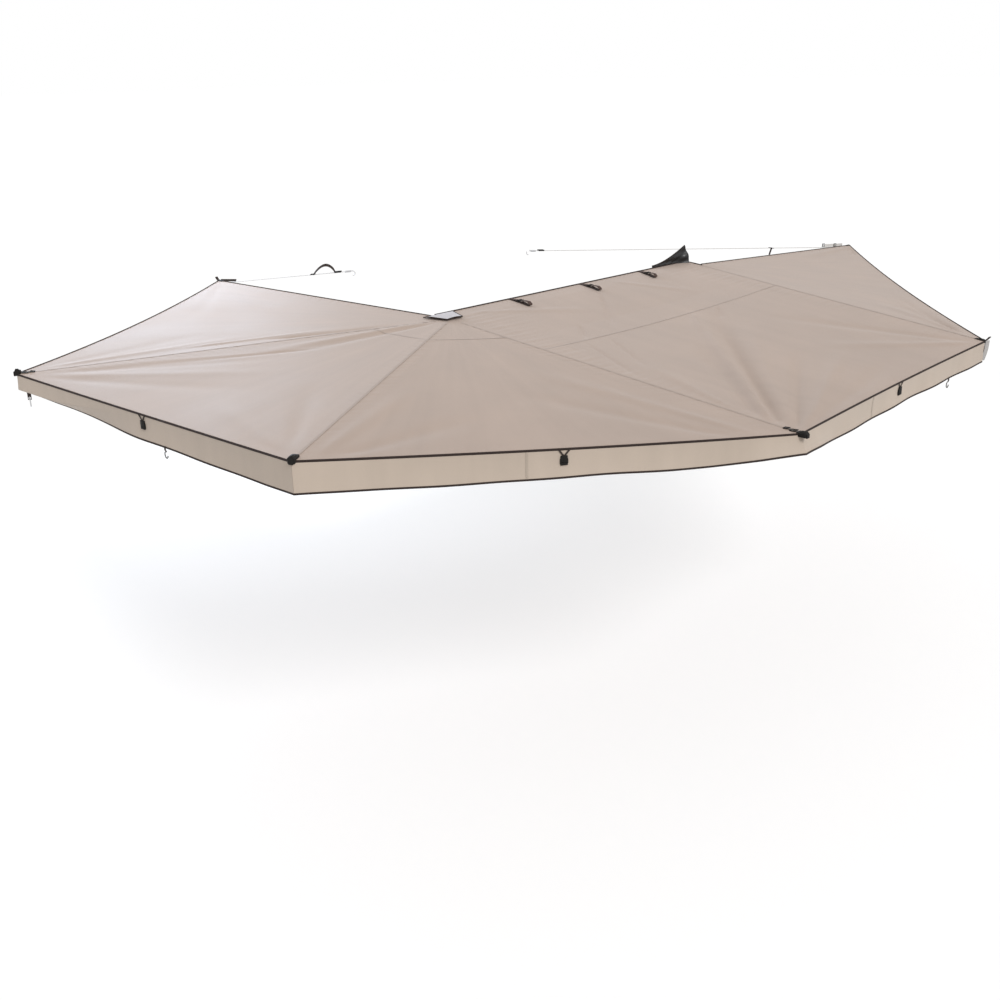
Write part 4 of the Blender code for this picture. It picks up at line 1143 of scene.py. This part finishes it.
dark_tab = webbing_finish("faded_webbing", (0.13, 0.115, 0.105), 1.3)
for arm, sizes in CAPS.items():
    corner_cap(arm, *sizes)
ends = [spike("front", 0.030).name, spike("rear_end", 0.026).name]
print("corner caps on", sorted(CAPS), "and loose ends", ends)

# %% [markdown]
# ## Things on the valance
# In the middle of each outer edge two narrow webbings run down to a buckle that takes a wall
# panel. Small hooks hang under the hem, a grey tab hangs at the front corner, and upright seams
# show where two lengths of valance were joined.

# %% Valance buckles, hooks and seams
def valance_strip(label, name, line, width, finish, count, raised, thick, out):
    """A short strip sewn to a valance, which gathers with it."""
    piece = strip(label, line, width, finish, count, raised, thick, out)
    fit(piece, CARRIER[name], "webbing" if finish is dark_web else "valance_canvas")
    return sew(piece, name + "_cloth")


def valance_buckle(name, t):
    label, out = name.replace("_valance", ""), corner_out(name, t)
    at = frame_at(hang(name, t, 0.42) + out * 0.004, -UP, out)
    sew(blocks(f"{label}_hem_buckle", BUCKLE, at, CARRIER[name]), name + "_cloth")
    for side in (-1, 1):
        path = [hang(name, t + side * 0.011 * (1 - k / 6), 0.03 + 0.24 * k / 6) + out * 0.0035
                for k in range(7)]
        valance_strip(f"{label}_hem_web_{side + 1}", name, lambda s: path[round(s * 6)], 0.008,
                      dark_web, 6, 0.0, 0.001, out)


def hem_hook(name, t, label):
    out = corner_out(name, t)
    ahead = out.cross(UP)
    base = hang(name, t, 1.0) + UP * -0.004
    valance_strip(f"{label}_hook_tab", name, lambda s: base + UP * (0.010 - 0.022 * s),
                  0.014, dark_web, 4, 0.003, 0.0014, out)
    bend = [base + UP * -0.010 + out * 0.002]
    bend += [base + ahead * 0.013 * math.cos(a) + UP * (0.017 * math.sin(a) - 0.034)
             for a in [math.radians(115 - 26 * k) for k in range(12)]]
    hook = tube(f"{label}_hook_wire", bend, 0.0030, dark_steel, 8)
    sew(fit(hook, CARRIER[name], "steel"), name + "_cloth")


def valance_seam(name, t, label):
    valance_strip(f"{label}_valance_seam", name, lambda s: hang(name, t, 0.06 + 0.88 * s), 0.012,
                  valance_seam_canvas, 8, 0.0014, 0.0008, corner_out(name, t))


# Painted light: the valance's seams take its canvas colour painted paler, a little darker for the seam.
valance_seam_canvas = stitched_finish("valance_seam_canvas", (0.50, 0.42, 0.345))
for name, t in (("rear_valance", 0.500), ("corner_valance", 0.49), ("side_valance", 0.476)):
    valance_buckle(name, t)
for name, t, label in (("rear_valance", 0.425, "rear"), ("side_valance", 0.19, "side")):
    hem_hook(name, t, label)
for name, t, label in (("corner_valance", 0.565, "corner"), ("side_valance", 0.62, "side")):
    valance_seam(name, t, label)
print("valance fittings made")

# %% [markdown]
# ## The grey tab
# A pull tab of grey webbing with one black edge hangs over the valance at the front corner. It is
# turned a little off the edge of the cloth, as a loose tab is, and curls as it hangs.

# %% Grey tab at the front corner
def front_corner_tab():
    tip = seam("front", CLOTH_REACH - 0.002)
    out, aside = heading("front")
    across = (aside * 0.84 + out * 0.54).normalized()
    path = [tip + across * (0.018 - 0.0016 * k) + out * 0.005 * math.sin(k / 3)
            + UP * (0.004 - 0.0120 * k) for k in range(11)]
    piece = ribbon("front_corner_tab", path, across, 0.026, grey_web, "front_arm",
                   "front_corner_cap", "hung")
    line = tube("front_corner_tab_edge", [p - across * 0.011 for p in path[:9]], 0.0013, piping, 8,
                flat=1.6)
    sew(fit(line, "front_arm", "webbing"), piece.name)
    return piece


print("made", front_corner_tab().name)

# %% [markdown]
# ## The bag, opened out
# The storage bag stays on the rail. Its long skirt hangs down behind the arms, and its stiff front
# end stands up as a glossy black triangle. Both are thin sheets of coated vinyl.

# %% Bag skirt and end flap
SKIRT, FLAP, TEETH = (2.140, 0.260), (0.380, 0.150), 420


def skirt_surface(s, y):
    drop = 1 - y
    fold = 0.006 * drop * math.sin(14 * math.pi * s) + 0.0015 * drop * math.sin(61 * s)
    return Vector(((s - 0.5) * SKIRT[0], RAIL_OUT - 0.0006 - 0.006 * min(1, drop * 6) + fold,
                   -0.052 - SKIRT[1] * drop))


skirt = grid_piece("bag_skirt_vinyl", skirt_surface, 140, 16, SKIRT, vinyl, (0, -1, 0))
fit(skirt, "rail_assembly", "black_vinyl", "bag_skirt")
bind("bag_skirt_hem", lambda t: skirt_surface(t, 0.01), 140, "rail_assembly", skirt.name, 1.6)


def skirt_zip():
    """A row of moulded teeth along the skirt's hem, made as one mesh of little blocks."""
    work = bmesh.new()
    for k in range(TEETH):
        p = skirt_surface(0.01 + 0.98 * k / TEETH, 0.055)
        add_box(work, (p.x - 0.0013, p.y - 0.0032, p.z - 0.0032),
                (p.x + 0.0013, p.y - 0.0010, p.z + 0.0032))
    return fit(moulding("bag_skirt_zip", work), "rail_assembly", "black_moulding")


sew(skirt_zip(), skirt.name)


def flap_surface(s, t):
    """The end of the bag: it stands on the rail and wraps outward round the rail's end."""
    rise = 0.020 + 0.111 * s ** 1.8
    wrap = max(0.0, (s - 0.72) / 0.28) ** 1.4
    crumple_by = (0.007 * math.sin(9 * s + 7 * t) + 0.004 * math.sin(23 * s - 11 * t)) * hump(t) * s
    x = 0.895 + FLAP[0] * s - 0.014 * t * s + 0.012 * wrap * hump(t)
    y = RAIL_EDGE_Y + 0.005 - 0.058 * wrap * (1 - t) ** 0.8 - 0.020 * (t * s) ** 2 + crumple_by
    return Vector((x, y, RAIL_TOP + 0.0005 + t * rise))


end_flap = grid_piece("bag_end_flap_vinyl", flap_surface, 40, 20, FLAP, vinyl, (0, -1, 0))
fit(end_flap, "rail_assembly", "black_vinyl", "bag_end_flap")
bind("bag_end_flap_edge", lambda t: flap_surface(t, 1.0), 30, "rail_assembly", end_flap.name, 1.0)
print("bag pieces", skirt.name, end_flap.name)

# %% [markdown]
# ## Storage straps
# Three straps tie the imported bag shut. With the awning open they lie on the cloth, each with its
# end turned back through a buckle as a loop.

# %% Storage straps
LOOP = ((0, 0, .004), (.30, 0, .009), (.55, 0, .013), (.76, 0, .022), (1, 0, .025),
        (1, .022, .015), (1, .020, .006), (1, 0, .0035), (.80, 0, .006), (.60, 0, .0095))


def cloth_top(x, y):
    """A point on top of the long panel, below a given place."""
    u, v = 0.5, 0.1
    for _ in range(12):
        p = side_point(u, v)
        u += (x - p.x) / 2.3
        v += (p.y - y) / 2.6
        v = max(v, 0.0)
    p = side_point(u, v)
    return Vector((x, y, p.z + 0.0014))


def storage_strap(index, x, slant):
    """A strap, and a loop whose points are a share along it, a way past it and a height."""
    label, flat = f"storage_strap_{index}", (0.20, 0.034)

    def surface(s, t):
        y = RAIL_EDGE_Y - 0.001 - flat[0] * s
        return cloth_top(x + (t - 0.5) * flat[1] - slant * s, y) + UP * 0.0012
    piece = grid_piece(label + "_web", surface, 14, 3, flat, brown_web, thick=0.0020)
    fit(piece, "rail_assembly", "webbing", label)
    ribbons.append((piece, flat, "laid", ["side_panel_cloth"]))
    a, b = surface(0.08, 0.5), surface(1.0, 0.5)
    run = (b - a).normalized()
    loop = [a.lerp(b, share) + run * past + UP * high for share, past, high in LOOP]
    path = [p.lerp(q, k / 4) for p, q in zip(loop, loop[1:]) for k in range(4)] + [loop[-1]]
    ribbon(label + "_loop", path, (1, 0, 0), 0.030, brown_web, "rail_assembly", piece.name, "laid")
    blocks(label + "_lock", LOCK, frame_at(a.lerp(b, 0.52) + UP * 0.0150, run), "rail_assembly")
    return piece


brown_web = webbing_finish("brown_webbing", (0.060, 0.038, 0.032), 1.6)
for index, x, slant in ((1, -0.610, 0.030), (2, 0.085, 0.040), (3, 0.735, 0.075)):
    print(storage_strap(index, x, slant).name, "at x", x)

# %% [markdown]
# ## Cover flap over the rear hub
# A pale flap with a piped edge keeps rain off the rear hub, where four panels meet. It steps up
# from the rail over the panel and droops at its free end.

# %% Hub cover flap
def cover_surface(s, t):
    out = 0.182 * (1 - t)
    rise = 0.0085 * min(1.0, out / 0.030)
    left, right = -1.352 + 0.18 * out, -1.122 - 0.40 * out
    x = left + (right - left) * s
    y = -0.036 - out
    droop = 0.020 * math.hypot(x + HUB_X, y - HUB_Y) * out / 0.200
    return Vector((x, y, RAIL_TOP + 0.0003 + rise - droop + 0.004 * hump(s) * out / 0.2))


cover = grid_piece("hub_cover_cloth", cover_surface, 24, 20, (0.26, 0.20), flap_cloth)
fit(cover, "rail_assembly", "flap_fabric", "hub_cover_flap")
for label, line in (("left", lambda t: cover_surface(0, 1 - t)),
                    ("right", lambda t: cover_surface(1, 1 - t)),
                    ("front", lambda t: cover_surface(t, 0))):
    bind(f"hub_cover_{label}_binding", line, 20, "rail_assembly", cover.name, 1.2)
print("cover flap", cover.name)

# %% [markdown]
# ## Tension straps
# One strap pulls each end arm back to a hook beyond the rail. It is thin webbing under load, so it
# is straight, and a flat strip between its two ends is exact.

# %% Tension straps
pale_web = webbing_finish("pale_webbing", (0.62, 0.60, 0.58), 1.15)
STRAPS = {"front": ("front_end", Vector((0.880, 1.140, 0.085))),
          "rear": ("rear_end", Vector((-0.720, 1.560, 0.085)))}


def strap_ends(end):
    arm, anchor = STRAPS[end]
    lug = along(arm, ARM - 0.022, SIDE_OF[arm] * 0.023)
    lug.z = TOP[arm] - 0.011
    level = Vector((anchor.x - lug.x, anchor.y - lug.y, 0)).normalized()
    return lug + level * 0.0123, anchor


def draw_in(piece, end):
    """Unhooked from its arm, the strap is drawn in to the hook at its far end."""
    start, stop = strap_ends(end)
    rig.ride(piece, "rail_assembly")
    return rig.squash(piece, "canopy_fold", axis=tuple(stop - start), anchor=tuple(stop), keep=0.04)


def strap_line(end):
    """Where a strap starts and stops, its direction, and the direction across it."""
    start, stop = strap_ends(end)
    run = (stop - start).normalized()
    return start, stop, run, UP.cross(run).normalized()


def tension_strap(end):
    start, stop, _, across = strap_line(end)
    flat = ((stop - start).length, 0.025)

    def surface(s, t):
        return start.lerp(stop, s) + across * (t - 0.5) * flat[1] - UP * 0.001
    piece = grid_piece(f"{end}_tension_web", surface, 80, 2, flat, pale_web, thick=0.0018)
    ribbons.append((piece, flat, "stretched", [f"{end}_strap_hook"]))
    return fit(piece, lambda web: draw_in(web, end), "webbing", f"{end}_tension_strap")


print(tension_strap("front").name, tension_strap("rear").name)

# %% [markdown]
# ## Strap hardware
# The front strap is doubled near its arm, and further on it has an adjuster with its spare end
# hanging. Each strap meets a buckle near its hook. At the rear the slack stands up in a black loop.

# %% Strap hardware
def strap_hardware(end):
    start, stop, run, across = strap_line(end)
    length = (stop - start).length
    leaning = across * 0.7 + UP * 0.7

    def at(distance, up=0.0):
        return start + run * distance + UP * up

    def drawn(piece):
        return draw_in(piece, end)
    made = []
    if end == "front":
        made.append(blocks("front_strap_adjuster", LOCK, frame_at(at(0.78), run), drawn))
        tail = [at(0.78) + UP * (-0.004 - 0.006 * k) + run * 0.002 * k for k in range(10)]
        ribbon("front_strap_tail", tail, across, 0.022, dark_web, drawn, "front_strap_adjuster",
               "hung")
        double = [at(0.02 + 0.014 * k, 0.022 - 0.0004 * k) for k in range(15)]
        ribbon("front_strap_double", double, UP, 0.026, pale_web, "front_end_arm",
               "front_end_arm_tip_cap")
        for label, distance in (("near", 0.10), ("far", 0.225)):
            made.append(blocks(f"front_strap_lock_{label}", LOCK,
                               frame_at(at(distance, 0.020), run, across), "front_end_arm", 0.8))
    else:
        a, b = at(length - 0.235, 0.002), at(length - 0.075, 0.004)
        loop = [a.lerp(b, k / 16) + UP * (0.058 * math.sin(math.pi * (k / 16) ** 1.2) ** 0.7)
                for k in range(17)]
        ribbon("rear_strap_loop", loop, leaning, 0.024, dark_web, "rail_assembly",
               "rear_strap_hook", "gathered")
        made.append(blocks("rear_strap_lock", LOCK, frame_at(at(length - 0.245, 0.002), run),
                           "rail_assembly"))
        lead = [at(-0.040 + 0.013 * k, 0.022 - 0.0012 * k) for k in range(10)]
        ribbon("rear_strap_lead", lead, leaning, 0.020, dark_web, "rear_end_arm",
               "rear_end_corner_cap")
    made.append(blocks(f"{end}_strap_buckle", BUCKLE, frame_at(at(length - 0.05, 0.003), run),
                       "rail_assembly", 1.1))
    return made


print("strap hardware", [piece.name for end in STRAPS for piece in strap_hardware(end)])

# %% [markdown]
# ## Tie strap
# A webbing tab hangs at the rear corner with a carabiner in its eye, for a guy rope or a light.

# %% Tie strap
def tie_strap():
    """Webbing 20 mm wide with a punched eye near its end, and a steel ring set in the eye."""
    out, left = heading("rear")
    half, eye, ring, columns, rows = 0.010, 0.0066, 32, 8, 18
    middle = along("rear", 2.425, -0.0173)
    heights = [c[2] for c in nodes["rear_arm_tie_strap"].bound_box]
    high, low = max(heights), min(heights)

    def at(aside, z):
        return Vector((middle.x, middle.y, z)) + out * aside
    points, uvs = [], []
    for j in range(rows + 1):
        z = high + (low + 2 * half - high) * j / rows
        for i in range(columns + 1):
            across = -half + 2 * half * i / columns
            points.append(at(across, z))
            uvs.append((high - z, across + half))
    faces, base = grid_faces(columns, rows), len(points)
    for radius in (eye, None):
        for k in range(ring):
            c, s = math.cos(2 * math.pi * k / ring), math.sin(2 * math.pi * k / ring)
            r = radius or half / max(abs(c), abs(s))
            points.append(at(r * c, low + half + r * s))
            uvs.append((high - points[-1].z, r * c + half))
    faces += [(base + k, base + (k + 1) % ring, base + ring + (k + 1) % ring, base + ring + k)
              for k in range(ring)]
    piece = mesh_piece("tie_strap_web", points, faces, dark_web, uvs, left)
    thicken(piece, 0.0018, 0)
    fit(piece, "rear_arm", "webbing", "rear_arm_tie_strap")
    turns = [k * math.pi / 12 for k in range(24)]
    circle = [at(0.0074 * math.cos(a), low + half + 0.0074 * math.sin(a)) for a in turns]
    fit(tube("tie_strap_eye", circle, 0.0008, steel, 8, True, 1.6), "rear_arm", "steel")
    ribbons.append((piece, (high - low, 2 * half), "hung", ["rear_arm_tip_cap"]))
    return piece


print("tie strap", tie_strap().name)

# %% [markdown]
# ## What each cloth was cut from
# Cloth hardly stretches, so each sheet is stated with the flat size that it was cut to, what
# holds it and what is sewn to it.

# %% State the sheets
def fan_cut(first, second):
    """The flat triangle between two arms, as its width, its height and its area."""
    chord = (seam(first, CLOTH_REACH) - seam(second, CLOTH_REACH)).length
    high = math.sqrt(CLOTH_REACH ** 2 - chord ** 2 / 4)
    return chord, high, chord * high / 2


def state(piece, flat, held, on, area=None):
    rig.sheet(piece, flat=flat, held=held, area=area, rests_on=on,
             with_pieces=sewn.get(piece.name, []))


def state_sheets():
    sheets = []
    for name, panel, _, low, high in CUTS:
        chord, tall, area = fan_cut(*FANS[panel])
        share = high - low
        sheets.append((bpy.data.objects[name], (chord * share, tall), "stretched",
                       [f"{BODY[arm]}_tip_cap" for arm in FANS[panel]], area * share))
    sheets += [(side_cloth, (2.56, 2.59), "stretched",
                ["side_arm_tip_cap", "front_arm_tip_cap"], 5.97),
               (rail_cloth, (2.56, 0.034), "stretched", ["backing_rail"])]
    for name, edge in EDGES.items():
        sheets.append((bpy.data.objects[name + "_cloth"],
                       ((edge(0) - edge(1)).length * 1.01, VALANCE_DROP), "hung",
                       [name.replace("valance", "panel") + "_cloth"]))
    sheets += [(skirt, (2.16, 0.26), "hung", ["backing_rail"]),
               (end_flap, (0.40, 0.135), "folded", ["backing_rail"], 0.025),
               (cover, (0.23, 0.185), "laid", ["rear_hub_bracket"], 0.033)]
    for sheet in sheets + ribbons:
        state(*sheet)
    return len(sheets + ribbons)


print("sheets stated:", state_sheets())

# %% [markdown]
# ## Floor, backdrop and light
# The awning hangs overhead, so the floor lies two metres below it and takes a soft shadow.
# The light is plain: a bright sky all round, and one broad sun from the near side. The floor and
# the sky look white to the camera and in reflections without adding any light. A low, cool panel
# of light stands beyond the rear wing and makes it shine, since coated cloth reflects light that
# comes in flat.

# %% Stage
FLOOR_Z, FLOOR_HALF = -2.05, 180
WHITE = (1, 1, 1)


def seen_or(owner, plain, shown):
    """Puts another shader in for rays from the camera, from mirrors and through glass."""
    rays = add_node(owner, "ShaderNodeLightPath").outputs
    direct = maths(owner, "MAXIMUM", rays["Is Camera Ray"], rays["Is Glossy Ray"])
    seen = maths(owner, "MAXIMUM", direct, rays["Is Transmission Ray"])
    return add_node(owner, "ShaderNodeMixShader", seen, plain, shown).outputs[0]


def make_world():
    world = bpy.data.worlds.new("studio")
    bpy.context.scene.world = world
    world.use_nodes = True
    sky = world.node_tree.nodes["Background"]
    for value, socket in zip(((1.0, 0.99, 0.985), 0.60), sky.inputs):
        plug(world, value, socket)
    shown = add_node(world, "ShaderNodeBackground", WHITE, 1.0)
    plug(world, seen_or(world, sky.outputs[0], shown.outputs[0]),
         world.node_tree.nodes["World Output"].inputs["Surface"])


def make_floor():
    """A pale floor. To the camera, part of it glows white, so that its far edge doesn't show.

    It throws back less light than it shows, which keeps the parts that hang in shade dark. From
    below it is clear, so that the awning's underside can be looked at.
    """
    finish = new_finish("pale_floor", (0.90, 0.90, 0.90), 0.9, specular=0.0)
    glow = add_node(finish, "ShaderNodeEmission", WHITE, 1.62).outputs[0]
    shown = add_node(finish, "ShaderNodeMixShader", 0.27, shader_of(finish).outputs[0], glow)
    quiet = add_node(finish, "ShaderNodeBsdfDiffuse", (0.76, 0.75, 0.74))
    above = seen_or(finish, quiet.outputs[0], shown.outputs[0])
    under = add_node(finish, "ShaderNodeNewGeometry").outputs["Backfacing"]
    clear = add_node(finish, "ShaderNodeBsdfTransparent").outputs[0]
    both = add_node(finish, "ShaderNodeMixShader", under, above, clear)
    plug(finish, both.outputs[0], finish.node_tree.nodes["Material Output"].inputs["Surface"])
    points = [(x * FLOOR_HALF, y * FLOOR_HALF, FLOOR_Z)
              for x, y in ((-1, -1), (1, -1), (1, 1), (-1, 1))]
    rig.stage(mesh_piece("floor", points, [(0, 1, 2, 3)], finish))


def make_sun(name, turn, strength, spread):
    data = bpy.data.lights.new(name, "SUN")
    data.energy, data.angle = strength, math.radians(spread)
    put(name, data).rotation_euler = [math.radians(a) for a in turn]


def make_panel_light(name, place, aim, size, power, colour):
    """A flat studio light that the camera doesn't see."""
    data = bpy.data.lights.new(name, "AREA")
    data.shape, data.size, data.size_y = "RECTANGLE", *size
    data.energy, data.color = power, colour
    panel = put(name, data)
    turn = (Vector(aim) - Vector(place)).to_track_quat("-Z", "Y").to_matrix().to_4x4()
    panel.matrix_world = Matrix.Translation(place) @ turn
    panel.visible_camera = False


make_world()
make_floor()
make_sun("near_side_sun", (50, 0, -12), 1.45, 20)
make_panel_light("far_rear_panel", (-0.7, 4.7, 1.2), (-2.0, 1.0, 0.0), (2.6, 1.5), 105,
                 (0.74, 0.84, 1.0))
bpy.context.scene.view_settings.view_transform = "Standard"
print("lit and staged")

# %% [markdown]
# ## Sizes at the end
# The dressed awning has to stay in the solids' box, give or take a few hundredths. Both boxes,
# of the solids and of the dressed awning, go into a small file.

# %% Write the sizes
visual_box = [list(corner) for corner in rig.bounds()]
with open("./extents.json", "w") as file:
    json.dump({"cad": cad_box, "visual": visual_box}, file)
print("visual box", [[round(v, 3) for v in corner] for corner in visual_box])
